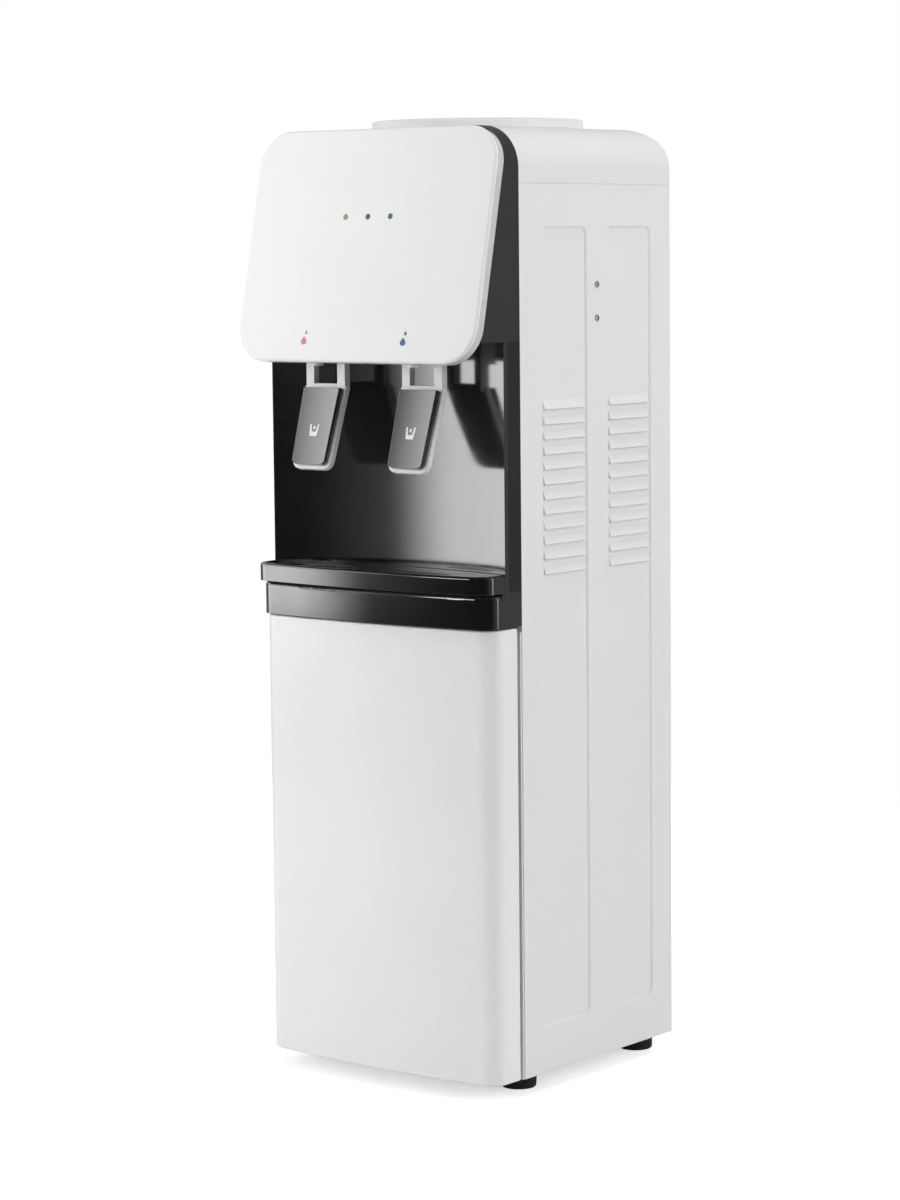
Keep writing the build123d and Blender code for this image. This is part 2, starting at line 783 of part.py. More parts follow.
# Door: bowed hollow shell, closed behind by a liner, hung on two pins
door_height = door_top_z - door_bottom_z
boss_length = hinge_pin_length + wall
with BuildPart() as door_shell:
    with BuildSketch(Plane.XY.offset(door_bottom_z)):
        add(bowed_plan(door_front_y, door_back_y, half_width, front_corner))
    extrude(amount=door_height)
    rims = door_shell.edges().filter_by(GeomType.LINE, reverse=True) + door_shell.edges().filter_by(Axis.Y)
    fillet(rims, door_edge)
    with BuildSketch(Plane.XY.offset(door_bottom_z + wall)):
        add(bowed_plan(door_front_y + wall, door_back_y, half_width - wall, front_corner - wall))
    extrude(amount=door_height - 2 * wall, mode=Mode.SUBTRACT)
    for boss_z, direction in ((door_bottom_z, 1), (door_top_z, -1)):
        with BuildSketch(Plane.XY.offset(boss_z)):
            with Locations((hinge_x, hinge_y)):
                Circle(hinge_boss_radius)
        extrude(amount=direction * boss_length)
        with BuildSketch(Plane.XY.offset(boss_z)):
            with Locations((hinge_x, hinge_y)):
                Circle(hinge_pin_radius + slip)
        extrude(amount=direction * hinge_pin_length, mode=Mode.SUBTRACT)
save(door_shell, "door_shell")

with BuildPart() as door_liner:
    with BuildSketch(Plane.XZ.offset(-door_back_y)):
        with Locations((0, (door_bottom_z + door_top_z) / 2)):
            Rectangle(body_width - 2 * wall, door_height - 2 * wall)
    extrude(amount=wall)
save(door_liner, "door_liner")

# Door catch: strike on the door liner, magnet under the roof of the cabinet
liner_top_z = deck_z - deck_thickness
liner_front_y = side_front_y - liner_wall
catch_z = liner_top_z - liner_wall - catch_height / 2
catch_x = half_width - catch_inset
strike_y = door_back_y + strike_thickness
with BuildPart() as door_strike:
    with BuildSketch(Plane.XZ.offset(-door_back_y)):
        with Locations((catch_x, catch_z)):
            RectangleRounded(catch_width, catch_height, strike_thickness)
    extrude(amount=-strike_thickness)
save(door_strike, "door_strike")

with BuildPart() as catch_magnet:
    with BuildSketch(Plane.XZ.offset(-strike_y - loose)):
        with Locations((catch_x, catch_z)):
            Rectangle(catch_width, catch_height)
    extrude(amount=strike_y + loose - side_front_y - catch_height)
save(catch_magnet, "catch_magnet")

# Hinge: lower bracket under the base pan with its pin, upper pin in the tray housing
bracket_front_y = hinge_y - bracket_front
bracket_depth = side_front_y + bracket_back - bracket_front_y
with BuildPart() as hinge_bracket:
    with BuildSketch(Plane.XY.offset(floor_gap - bracket_thickness)):
        with Locations((hinge_x, bracket_front_y + bracket_depth / 2)):
            RectangleRounded(bracket_width, bracket_depth, bracket_front / 2)
    extrude(amount=bracket_thickness)
    with BuildSketch(Plane.XY.offset(floor_gap)):
        with Locations((hinge_x, hinge_y)):
            Circle(hinge_pin_radius)
    extrude(amount=door_bottom_z - floor_gap + hinge_pin_length - loose)
save(hinge_bracket, "hinge_bracket")

with BuildPart() as hinge_pin:
    with BuildSketch(Plane.XY.offset(door_top_z - hinge_pin_length + loose)):
        with Locations((hinge_x, hinge_y)):
            Circle(hinge_pin_radius)
    extrude(amount=housing_bottom_z + housing_floor - door_top_z + hinge_pin_length - loose)
save(hinge_pin, "hinge_pin")

# Storage cabinet liner: open box with a front flange over the panel edges
liner_half = skin_x - liner_side_gap
liner_rear_y = rear_in_y - liner_rear_gap
with BuildPart() as cabinet_liner:
    with BuildSketch(Plane.XZ.offset(-liner_rear_y)):
        with Locations((0, (pan_top_z + liner_top_z) / 2)):
            Rectangle(2 * liner_half, liner_top_z - pan_top_z)
    extrude(amount=liner_rear_y - side_front_y)
    with BuildSketch(Plane.XZ.offset(-side_front_y)):
        with Locations((0, (floor_gap + deck_z) / 2)):
            Rectangle(2 * skin_x, deck_z - floor_gap)
    extrude(amount=liner_wall)
    with BuildSketch(Plane.XZ.offset(-liner_front_y)):
        with Locations((0, (pan_top_z + liner_top_z) / 2)):
            Rectangle(2 * (liner_half - liner_wall), liner_top_z - pan_top_z - 2 * liner_wall)
    extrude(amount=liner_front_y - liner_rear_y + liner_wall, mode=Mode.SUBTRACT)
save(cabinet_liner, "cabinet_liner")

# Decks: one over the cabinet, one under the cold tank
deck_front_y = side_front_y + sheet
with BuildPart() as mid_deck:
    with BuildSketch(Plane.XY.offset(deck_z - deck_thickness)):
        with Locations((0, deck_front_y)):
            Rectangle(2 * inner_x, rear_in_y - sheet - deck_front_y, align=(Align.CENTER, Align.MIN))
    extrude(amount=deck_thickness)
save(mid_deck, "mid_deck")

shelf_front_y = side_front_y + shelf_inset
with BuildPart() as tank_shelf:
    with BuildSketch(Plane.XY.offset(shelf_z - deck_thickness)):
        with Locations((0, shelf_front_y)):
            Rectangle(2 * inner_x, cold_block_back_y - shelf_front_y, align=(Align.CENTER, Align.MIN))
        with Locations((feed_x, mid_y)):
            Circle(feed_radius + loose, mode=Mode.SUBTRACT)
    extrude(amount=deck_thickness)
save(tank_shelf, "tank_shelf")

# Cold tank: drawn steel pot with holes for the neck and the feed pipe, in a foam jacket flat at the rear
with BuildPart() as cold_tank:
    with Locations((0, mid_y, tank_bottom_z)):
        Cylinder(tank_radius, tank_height, align=(Align.CENTER, Align.CENTER, Align.MIN))
    with Locations((0, mid_y, tank_bottom_z + tank_wall)):
        Cylinder(
            tank_radius - tank_wall,
            tank_height - 2 * tank_wall,
            align=(Align.CENTER, Align.CENTER, Align.MIN),
            mode=Mode.SUBTRACT,
        )
    with BuildSketch(Plane.XY.offset(tank_top_z)):
        with Locations((0, mid_y)):
            Circle(neck_radius + tank_wall)
    extrude(amount=-tank_wall, mode=Mode.SUBTRACT)
    with BuildSketch(Plane.XY.offset(tank_bottom_z)):
        with Locations((feed_x, mid_y)):
            Circle(feed_radius)
    extrude(amount=tank_wall, mode=Mode.SUBTRACT)
save(cold_tank, "cold_tank")

insulation_radius = tank_radius + insulation_thickness
cold_start = hose_start(0, tap_x, shelf_z + cold_stub_rise)
with BuildPart() as cold_insulation:
    with Locations((0, mid_y, shelf_z)):
        Cylinder(insulation_radius, tank_top_z - shelf_z, align=(Align.CENTER, Align.CENTER, Align.MIN))
    with Locations((0, mid_y, tank_bottom_z)):
        Cylinder(
            tank_radius,
            tank_height,
            align=(Align.CENTER, Align.CENTER, Align.MIN),
            mode=Mode.SUBTRACT,
        )
    with BuildSketch(Plane.XZ.offset(-mid_y)):
        with Locations((0, module_z)):
            Rectangle(cold_block_size, cold_block_size)
    extrude(amount=-insulation_radius, mode=Mode.SUBTRACT)
    with BuildSketch(Plane.XZ.offset(-cold_block_back_y)):
        with Locations((0, (shelf_z + tank_top_z) / 2)):
            Rectangle(2 * insulation_radius, tank_top_z - shelf_z)
    extrude(amount=-insulation_thickness, mode=Mode.SUBTRACT)
    with BuildSketch(cold_start):
        Circle(hose_radius)
    extrude(amount=insulation_radius, mode=Mode.SUBTRACT)
    with BuildSketch(Plane.XY.offset(shelf_z)):
        with Locations((feed_x, mid_y)):
            Circle(feed_radius + loose)
    extrude(amount=insulation_floor, mode=Mode.SUBTRACT)
save(cold_insulation, "cold_insulation")

# Cooling stack: cold block on the tank, thermoelectric module, finned sink, fan at the rear grille
with BuildPart() as cold_block:
    with BuildSketch(Plane.XZ.offset(-cold_block_back_y)):
        with Locations((0, module_z)):
            Rectangle(cold_block_size, cold_block_size)
    extrude(amount=cold_block_back_y - mid_y)
    with Locations((0, mid_y, tank_bottom_z)):
        Cylinder(
            tank_radius,
            tank_height,
            align=(Align.CENTER, Align.CENTER, Align.MIN),
            mode=Mode.SUBTRACT,
        )
save(cold_block, "cold_block")

with BuildPart() as peltier_module:
    with BuildSketch(Plane.XZ.offset(-sink_front_y)):
        with Locations((0, module_z)):
            Rectangle(module_size, module_size)
    extrude(amount=module_thickness)
save(peltier_module, "peltier_module")

fin_pitch = (sink_size - fin_thickness) / (fin_count - 1)
with BuildPart() as heat_sink:
    with BuildSketch(Plane.XZ.offset(-sink_front_y)):
        with Locations((0, module_z)):
            Rectangle(sink_size, sink_size)
    extrude(amount=-sink_base)
    with BuildSketch(Plane.XZ.offset(-sink_front_y - sink_base)):
        with Locations((0, module_z)):
            with GridLocations(fin_pitch, 0, fin_count, 1):
                Rectangle(fin_thickness, sink_size)
    extrude(amount=sink_base - sink_depth)
save(heat_sink, "heat_sink")

with BuildPart() as fan_frame:
    with BuildSketch(Plane.XZ.offset(-rear_in_y)):
        with Locations((0, module_z)):
            RectangleRounded(fan_size, fan_size, fan_corner)
            Circle(fan_bore, mode=Mode.SUBTRACT)
    extrude(amount=fan_depth)
    with BuildSketch(Plane.XZ.offset(-rear_in_y)):
        with Locations((0, module_z)):
            Circle(fan_hub_radius)
            Rectangle(2 * fan_bore + fan_strut, fan_strut)
            Rectangle(fan_strut, 2 * fan_bore + fan_strut)
            Circle(fan_shaft_radius + slip, mode=Mode.SUBTRACT)
    extrude(amount=fan_motor_depth)
save(fan_frame, "fan_frame")

rotor_rear_y = rear_in_y - fan_motor_depth - loose
rotor_mid_y = rotor_rear_y - fan_rotor_depth / 2
blade_length = fan_blade_radius - fan_hub_radius + fan_blade_thickness
with BuildPart() as fan_rotor:
    with BuildSketch(Plane.XZ.offset(-rotor_rear_y)):
        with Locations((0, module_z)):
            Circle(fan_hub_radius)
    extrude(amount=fan_rotor_depth)
    for i in range(fan_blade_count):
        turn = radians(i * 360 / fan_blade_count)
        outward = Vector(cos(turn), 0, sin(turn))
        blade_root = Vector(0, rotor_mid_y, module_z) + outward * (fan_hub_radius - fan_blade_thickness)
        with BuildSketch(Plane(origin=blade_root, x_dir=(0, 1, 0), z_dir=outward)):
            Rectangle(fan_rotor_depth, fan_blade_thickness, rotation=fan_blade_pitch)
        extrude(amount=blade_length)
    with BuildSketch(Plane.XZ.offset(-rotor_rear_y)):
        with Locations((0, module_z)):
            Circle(fan_shaft_radius)
    extrude(amount=-fan_shaft_length)
save(fan_rotor, "fan_rotor")

# Hot tank with its heater band
hot_top_z = deck_z + hot_height
with BuildPart() as hot_tank:
    with Locations((hot_x, mid_y, deck_z)):
        Cylinder(hot_radius, hot_height, align=(Align.CENTER, Align.CENTER, Align.MIN))
    with Locations((hot_x, mid_y, deck_z + tank_wall)):
        Cylinder(
            hot_radius - tank_wall,
            hot_height - 2 * tank_wall,
            align=(Align.CENTER, Align.CENTER, Align.MIN),
            mode=Mode.SUBTRACT,
        )
save(hot_tank, "hot_tank")

with BuildPart() as heater_band:
    with BuildSketch(Plane.XY.offset(deck_z + band_rise)):
        with Locations((hot_x, mid_y)):
            Circle(hot_radius + band_thickness)
            Circle(hot_radius, mode=Mode.SUBTRACT)
    extrude(amount=band_height)
save(heater_band, "heater_band")

with BuildPart() as feed_pipe:
    with BuildSketch(Plane.XY.offset(hot_top_z)):
        with Locations((feed_x, mid_y)):
            Circle(feed_radius)
            Circle(feed_radius - tank_wall, mode=Mode.SUBTRACT)
    extrude(amount=tank_bottom_z + tank_wall - hot_top_z)
save(feed_pipe, "feed_pipe")

with BuildPart() as control_box:
    with BuildSketch(Plane.XY.offset(deck_z)):
        with Locations((half_width - box_inset, mid_y)):
            RectangleRounded(box_size[0], box_size[1], box_round)
    extrude(amount=box_size[2])
    fillet(control_box.faces().sort_by(Axis.Z)[-1].edges(), box_round / 2)
save(control_box, "control_box")


def paddle_outline(rim):
    """Outline of the tapered paddle with rounded lower corners, hanging down from its own origin."""
    with BuildSketch() as outline:
        with BuildLine():
            Polyline(
                (pad_top_width / 2 + rim, rim),
                (-pad_top_width / 2 - rim, rim),
                (-pad_bottom_width / 2 - rim, -pad_length - rim),
                (pad_bottom_width / 2 + rim, -pad_length - rim),
                (pad_top_width / 2 + rim, rim),
            )
        make_face()
        fillet(outline.vertices().group_by(Axis.Y)[0], pad_corner + rim)
    return outline.sketch


# Taps: valve body with its nozzle, pivot pin, stem, lever and pad
lean = radians(lever_lean)
valve_front_y = head_back_y - valve_depth
valve_height = valve_drop + valve_rise
pad_top_z = pivot_z - pad_drop
arm_mid_x = arm_outer - arm_width / 2
paddle_top_z = pad_top_z + paddle_rim
bar_front_y = pivot_y - arm_depth / 2
hollow_half = pad_top_width / 2 - sheet
hollow_radius = (hollow_half**2 + pad_hollow**2) / (2 * pad_hollow)
for tap_name, side in tap_sides:
    x = side * tap_x
    with BuildPart() as tap_body:
        with BuildSketch(Plane.XZ.offset(-head_back_y)):
            with Locations((x, pivot_z - valve_drop + valve_height / 2)):
                RectangleRounded(valve_width, valve_height, pin_radius)
        extrude(amount=valve_depth)
        with BuildSketch(Plane.XZ.offset(-valve_front_y)):
            with Locations((x, pivot_z)):
                RectangleRounded(nose_width, nose_height, pin_radius)
        extrude(amount=valve_front_y - nozzle_y)
        with BuildSketch(Plane.XY.offset(nozzle_bottom_z)):
            with Locations((x, nozzle_y)):
                Circle(nozzle_radius)
        extrude(amount=pivot_z + nose_height / 2 - nozzle_bottom_z)
        with BuildSketch(Plane.XY.offset(nozzle_bottom_z)):
            with Locations((x, nozzle_y)):
                Circle(nozzle_bore)
        extrude(amount=pivot_z - nozzle_bottom_z - nose_height / 2, mode=Mode.SUBTRACT)
        with BuildSketch(Plane.XZ.offset(-head_back_y)):
            with Locations((x, barb_z)):
                Circle(barb_radius)
        extrude(amount=-(wall + barb_length))
        with BuildSketch(Plane.YZ.offset(x)):
            with Locations((pivot_y, pivot_z)):
                Circle(pin_radius)
        extrude(amount=nose_width, both=True, mode=Mode.SUBTRACT)
        with BuildSketch(Plane.XZ.offset(-valve_front_y)):
            with Locations((x, stem_z)):
                Circle(stem_radius + slip)
        extrude(amount=-(stem_inside + loose), mode=Mode.SUBTRACT)
    save(tap_body, f"tap_body_{tap_name}")

    with BuildPart() as tap_pin:
        with BuildSketch(Plane.YZ.offset(x)):
            with Locations((pivot_y, pivot_z)):
                Circle(pin_radius)
        extrude(amount=arm_outer, both=True)
    save(tap_pin, f"tap_pin_{tap_name}")

    # The lever's paddle lies in a plane that leans forward towards its lower end
    paddle_plane = Plane(
        origin=(x, pivot_y - pad_ahead, pad_top_z), x_dir=(1, 0, 0), z_dir=(0, -cos(lean), sin(lean))
    )
    with BuildPart() as tap_lever:
        with BuildSketch(paddle_plane.offset(-pad_thickness)):
            add(paddle_outline(paddle_rim))
        extrude(amount=-paddle_thickness)
        paddle_axis = Axis(paddle_plane.origin, paddle_plane.z_dir)
        fillet(tap_lever.faces().sort_by(paddle_axis)[-1].edges(), paddle_edge)
        with BuildSketch(Plane.XY.offset(paddle_top_z - bar_height)):
            with Locations((x - arm_mid_x, pivot_y), (x + arm_mid_x, pivot_y)):
                Rectangle(arm_width, arm_depth)
        extrude(amount=arm_top_z - paddle_top_z + bar_height)
        with BuildSketch(Plane.XY.offset(paddle_top_z - bar_height)):
            with Locations((x, pivot_y)):
                Rectangle(2 * arm_outer, arm_depth)
        extrude(amount=bar_height)
        with BuildSketch(Plane.XY.offset(arm_top_z - bar_height)):
            with Locations((x, pivot_y)):
                Rectangle(2 * arm_outer, arm_depth)
        extrude(amount=bar_height)
        with BuildSketch(Plane.YZ.offset(x)):
            with Locations((pivot_y, pivot_z)):
                Circle(pin_radius + slip)
        extrude(amount=2 * arm_outer, both=True, mode=Mode.SUBTRACT)
        with BuildSketch(Plane.XZ.offset(-pivot_y)):
            with Locations((x, stem_z)):
                Circle(stem_radius + stem_slot)
        extrude(amount=arm_depth, both=True, mode=Mode.SUBTRACT)
    save(tap_lever, f"tap_lever_{tap_name}")

    # The pad is slightly hollow across, to take the round wall of a cup
    across_plane = Plane(origin=paddle_plane.origin, x_dir=(1, 0, 0), z_dir=-paddle_plane.y_dir)
    with BuildPart() as tap_pad:
        with BuildSketch(paddle_plane.offset(-pad_thickness)):
            add(paddle_outline(0))
        extrude(amount=pad_thickness)
        fillet(tap_pad.faces().sort_by(paddle_axis)[-1].edges(), sheet)
        with BuildSketch(across_plane):
            with Locations((0, hollow_radius - pad_hollow)):
                Circle(hollow_radius)
        extrude(amount=pad_length, mode=Mode.SUBTRACT)
    save(tap_pad, f"tap_pad_{tap_name}")

    with BuildPart() as tap_stem:
        with BuildSketch(Plane.XZ.offset(-valve_front_y - stem_inside)):
            with Locations((x, stem_z)):
                Circle(stem_radius)
        extrude(amount=valve_front_y + stem_inside - bar_front_y + loose)
        with BuildSketch(Plane.XZ.offset(-bar_front_y + loose)):
            with Locations((x, stem_z)):
                Circle(stem_head_radius)
        extrude(amount=stem_head_length)
    save(tap_stem, f"tap_stem_{tap_name}")

# Hoses: from the wall of each tank up behind the niche panel to the barb of its tap
hot_start = hose_start(hot_x, -tap_x, deck_z + hot_stub_rise)
for hose_name, start, tap_at, radius, bottom_z, height in (
    ("hot", hot_start, -tap_x, hot_radius, deck_z, hot_height),
    ("cold", cold_start, tap_x, tank_radius, tank_bottom_z, tank_height),
):
    with BuildPart() as hose:
        with BuildLine() as route:
            FilletPolyline(
                start.origin,
                (tap_at, hose_y, start.origin.Z),
                (tap_at, hose_y, barb_z),
                (tap_at, head_back_y, barb_z),
                radius=hose_bend,
            )
        with BuildSketch(start):
            Circle(hose_radius)
            Circle(barb_radius, mode=Mode.SUBTRACT)
        sweep(path=route.wires()[0])
        with Locations((start.origin.X, mid_y, bottom_z)):
            Cylinder(radius, height, align=(Align.CENTER, Align.CENTER, Align.MIN), mode=Mode.SUBTRACT)
    save(hose, f"{hose_name}_hose")

# Drain: pipe from the hot tank through the rear panel, closed by a ribbed cap
drain_end_y = rear_out_y + drain_out
with BuildPart() as drain_pipe:
    with BuildSketch(Plane.XZ.offset(-drain_end_y)):
        with Locations((hot_x, drain_z)):
            Circle(drain_radius)
            Circle(drain_radius - tank_wall, mode=Mode.SUBTRACT)
    extrude(amount=drain_end_y - mid_y)
    with Locations((hot_x, mid_y, deck_z)):
        Cylinder(
            hot_radius, hot_height, align=(Align.CENTER, Align.CENTER, Align.MIN), mode=Mode.SUBTRACT
        )
save(drain_pipe, "drain_pipe")

with BuildPart() as drain_cap:
    with BuildSketch(Plane.XZ.offset(-rear_out_y - loose)):
        with Locations((hot_x, drain_z)):
            Circle(cap_radius)
            with PolarLocations(cap_radius, cap_grips):
                Circle(sheet, mode=Mode.SUBTRACT)
    extrude(amount=-(rear_recess - loose))
    with BuildSketch(Plane.XZ.offset(-rear_out_y - loose)):
        with Locations((hot_x, drain_z)):
            Circle(drain_radius + slip)
    extrude(amount=-drain_out, mode=Mode.SUBTRACT)
save(drain_cap, "drain_cap")

# Rocker switches for heating and cooling
rocker_height = switch_height - 2 * switch_rim - 2 * rocker_gap
rocker_width = switch_width - 2 * switch_rim - 2 * rocker_gap
rocker_y = rear_out_y + switch_proud - rocker_thickness / 2
for (switch_name, _), x in zip(tap_sides, switch_xs):
    with BuildPart() as switch_body:
        with BuildSketch(Plane.XZ.offset(-rear_out_y)):
            with Locations((x, switch_z)):
                RectangleRounded(switch_width + 2 * switch_rim, switch_height + 2 * switch_rim, switch_rim)
        extrude(amount=-switch_proud)
        with BuildSketch(Plane.XZ.offset(-rear_out_y)):
            with Locations((x, switch_z)):
                Rectangle(switch_width, switch_height)
        extrude(amount=switch_depth)
        with BuildSketch(Plane.XZ.offset(-rear_out_y - switch_proud)):
            with Locations((x, switch_z)):
                Rectangle(switch_width - 2 * switch_rim, switch_height - 2 * switch_rim)
        extrude(amount=2 * rocker_thickness, mode=Mode.SUBTRACT)
        with BuildSketch(Plane.YZ.offset(x)):
            with Locations((rocker_y, switch_z)):
                Circle(rocker_pin_radius + slip)
        extrude(amount=switch_width / 2 - switch_rim / 2, both=True, mode=Mode.SUBTRACT)
    save(switch_body, f"switch_body_{switch_name}")

    with BuildPart() as rocker:
        with BuildSketch(Plane.YZ.offset(x)):
            with Locations((rocker_y, switch_z)):
                RectangleRounded(rocker_thickness, rocker_height, sheet, rotation=rocker_tilt)
        extrude(amount=rocker_width / 2, both=True)
        with BuildSketch(Plane.YZ.offset(x)):
            with Locations((rocker_y, switch_z)):
                Circle(rocker_pin_radius)
        extrude(amount=switch_width / 2 - switch_rim / 2 - slip, both=True)
    save(rocker, f"rocker_{switch_name}")

# Cord gland in the rear panel
with BuildPart() as cord_gland:
    with BuildSketch(Plane.XZ.offset(-rear_in_y)):
        with Locations((gland_x, gland_z)):
            Circle(gland_radius)
    extrude(amount=-sheet)
    with BuildSketch(Plane.XZ.offset(-rear_out_y)):
        with Locations((gland_x, gland_z)):
            Circle(gland_radius + gland_flange)
    extrude(amount=-gland_flange)
    with BuildSketch(Plane.XZ.offset(-rear_in_y)):
        with Locations((gland_x, gland_z)):
            Circle(gland_radius + gland_flange)
    extrude(amount=gland_flange)
    with BuildSketch(Plane.XZ.offset(-rear_y)):
        with Locations((gland_x, gland_z)):
            Circle(gland_bore)
    extrude(amount=total_depth / 2, mode=Mode.SUBTRACT)
save(cord_gland, "cord_gland")
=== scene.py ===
"""Looks of the water cooler: surfaces, printed marks, screws, feet, light and camera.

Metres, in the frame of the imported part: +Z up, the front towards -Y.
"""
from math import cos, pi, radians, sin

import bmesh
import bpy
from mathutils import Matrix, Vector
from mathutils.bvhtree import BVHTree


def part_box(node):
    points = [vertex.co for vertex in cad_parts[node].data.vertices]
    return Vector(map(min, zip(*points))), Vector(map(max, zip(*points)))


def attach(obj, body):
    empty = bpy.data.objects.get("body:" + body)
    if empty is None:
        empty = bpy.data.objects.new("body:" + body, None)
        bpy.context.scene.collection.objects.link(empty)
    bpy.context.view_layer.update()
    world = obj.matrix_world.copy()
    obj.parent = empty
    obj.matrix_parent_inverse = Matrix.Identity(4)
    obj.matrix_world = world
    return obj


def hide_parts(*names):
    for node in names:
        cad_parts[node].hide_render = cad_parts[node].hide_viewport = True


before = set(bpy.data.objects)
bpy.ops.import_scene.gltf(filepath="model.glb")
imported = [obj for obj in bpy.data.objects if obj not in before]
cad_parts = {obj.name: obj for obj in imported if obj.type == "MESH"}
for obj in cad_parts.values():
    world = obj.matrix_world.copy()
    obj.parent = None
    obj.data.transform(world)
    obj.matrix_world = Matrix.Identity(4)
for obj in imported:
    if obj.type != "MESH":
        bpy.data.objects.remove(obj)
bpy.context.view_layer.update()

# Camera, fitted to the straight edges of the photo
CAMERA_PLACE = (2.1463, -2.6910, 0.8551)
CAMERA_YAW = radians(38.72)
CAMERA_PITCH = radians(6.10)
CAMERA_ROLL = radians(-0.58)
CAMERA_LENS = 99.66
SENSOR_WIDTH = 36.0
VIEW_END = 200.0

# Noise in the surfaces: waves per metre, and the middle part of its range that is used
SLOW = 9.0
UNEVEN = 45.0
NOISE_LOW = 0.3
NOISE_HIGH = 0.7
SHADE_LOW = 0.35
SHADE_HIGH = 0.65

# Brushed metal: waves per metre across the lines, shade of the darker lines, softened edge
BRUSH_WAVES = 60.0
BRUSH_SHADE = 0.88
BRUSH_EDGE = 0.0003

# Indicator lenses from left to right
LENS_COLOURS = ((0.23, 0.26, 0.07), (0.10, 0.012, 0.016), (0.012, 0.11, 0.065))

# Edges between faces that meet at more than this stay sharp
SMOOTH_ANGLE = radians(35)

# Printed marks
INK = 0.00015
ROUND_POINTS = 28
DROP_SIDE = 0.0645
DROP_Z = 0.761
DROP_SIZE = (0.0064, 0.0082)
SMALL_DROP_SIZE = (0.0030, 0.0042)
SMALL_DROP_PLACE = (0.0022, 0.0084)
DROP_BULGE = 0.72
CUP_WIDTH = 0.0126
CUP_FOOT = 0.0094
CUP_HEIGHT = 0.0125
CUP_LINE = 0.0021
CUP_FILL = 0.0042
CUP_LOW = 0.0035
CUP_DROP_SIZE = (0.0028, 0.0040)
CUP_DROP_PLACE = (0.0, 0.0030)
SWITCH_MARK = 0.0036
SWITCH_LINE = (0.0006, 0.0028)
SWITCH_RING_OUTER = 0.0014
SWITCH_RING_INNER = 0.0009

# Screws with cross recesses
SCREW_SIDES = 32
SCREW_HEAD_TALL = 0.0016
SCREW_RIM = 0.4
SCREW_DOME = [radians(a) for a in (0, 20, 40, 60, 78)]
SCREW_TURN = radians(63)
RECESS_LONG = 0.0038
RECESS_WIDE = 0.0010
RECESS_DEEP = 0.0010
RECESS_TAPER = 0.65

# Feet: shares of the radius and of the height, from the hollow below round to the top
FOOT_SIDES = 64
FOOT_PROFILE = (
    (0.0, 0.22), (0.30, 0.22), (0.32, 0.0), (0.84, 0.0), (0.895, 0.06), (0.92, 0.36), (0.885, 0.40),
    (0.885, 0.46), (0.93, 0.50), (0.985, 0.95), (0.97, 1.0), (0.0, 1.0),
)

# Studio: the point that the lamps face, how the room turns pale towards the back, and the floor
TARGET = Vector((0.0, -0.08, 0.55))
ROOM_FRONT = 0.04
ROOM_BACK = 0.31
ROOM_TURN_START = -0.3
ROOM_TURN_END = 0.4
FLOOR_REACH = 1.6
FLOOR_GREY = 0.80
FLOOR_LIFT = 0.55


# Shader helpers

def node(tree, kind, **inputs):
    """New shader node; each keyword sets or links the input of that name."""
    made = tree.nodes.new("ShaderNode" + kind)
    for name, value in inputs.items():
        socket = made.inputs[name.replace("_", " ")]
        if isinstance(value, bpy.types.NodeSocket):
            tree.links.new(value, socket)
        else:
            socket.default_value = value
    return made


def blank(name):
    """New material with its node tree and its main shader."""
    material = bpy.data.materials.new(name)
    material.use_nodes = True
    tree = material.node_tree
    return material, tree, tree.nodes["Principled BSDF"]


def own_space(tree):
    """Place on the piece, in its own space."""
    return node(tree, "TexCoord").outputs["Object"]


def noise(tree, scale, detail=3.0, stretch=(1.0, 1.0, 1.0)):
    """Noise in the piece's own space."""
    spread = node(tree, "Mapping", Vector=own_space(tree), Scale=stretch).outputs["Vector"]
    return node(tree, "TexNoise", Vector=spread, Scale=scale, Detail=detail).outputs["Fac"]


def between(tree, pattern, low, high):
    """A noise pattern spread over a range of numbers."""
    spread = node(tree, "MapRange", Value=pattern, From_Min=NOISE_LOW, From_Max=NOISE_HIGH)
    spread.inputs["To Min"].default_value = low
    spread.inputs["To Max"].default_value = high
    return spread.outputs["Result"]


def shades(tree, pattern, first, second):
    """A pattern turned into a blend of two colours."""
    ramp = node(tree, "ValToRGB", Fac=pattern)
    start, end = ramp.color_ramp.elements
    start.position = SHADE_LOW
    start.color = (*first, 1.0)
    end.position = SHADE_HIGH
    end.color = (*second, 1.0)
    return ramp.outputs["Color"]


def relief(tree, shader, pattern, depth, edge):
    """Bump from a pattern, on corners that are softened by a small radius."""
    soft = node(tree, "Bevel", Radius=edge).outputs["Normal"]
    bump = node(tree, "Bump", Height=pattern, Strength=1.0, Distance=depth, Normal=soft)
    tree.links.new(bump.outputs["Normal"], shader.inputs["Normal"])


def moulded(name, colour, drift, roughness, grain, depth, edge=0.0005):
    """Moulded or coated surface: slow drift in colour, uneven gloss, fine grain."""
    material, tree, shader = blank(name)
    darker = [c * (1 - drift) for c in colour]
    tree.links.new(shades(tree, noise(tree, SLOW), darker, colour), shader.inputs["Base Color"])
    tree.links.new(between(tree, noise(tree, UNEVEN), *roughness), shader.inputs["Roughness"])
    relief(tree, shader, noise(tree, grain, detail=2.0), depth, edge)
    return material, shader


def brushed(name, colour, roughness, stretch, depth):
    """Bare metal with fine lines along one axis."""
    material, tree, shader = blank(name)
    lines = noise(tree, BRUSH_WAVES, detail=6.0, stretch=stretch)
    darker = [c * BRUSH_SHADE for c in colour]
    tree.links.new(shades(tree, lines, darker, colour), shader.inputs["Base Color"])
    tree.links.new(between(tree, lines, *roughness), shader.inputs["Roughness"])
    shader.inputs["Metallic"].default_value = 1.0
    relief(tree, shader, lines, depth, BRUSH_EDGE)
    return material


# Plastics and paint

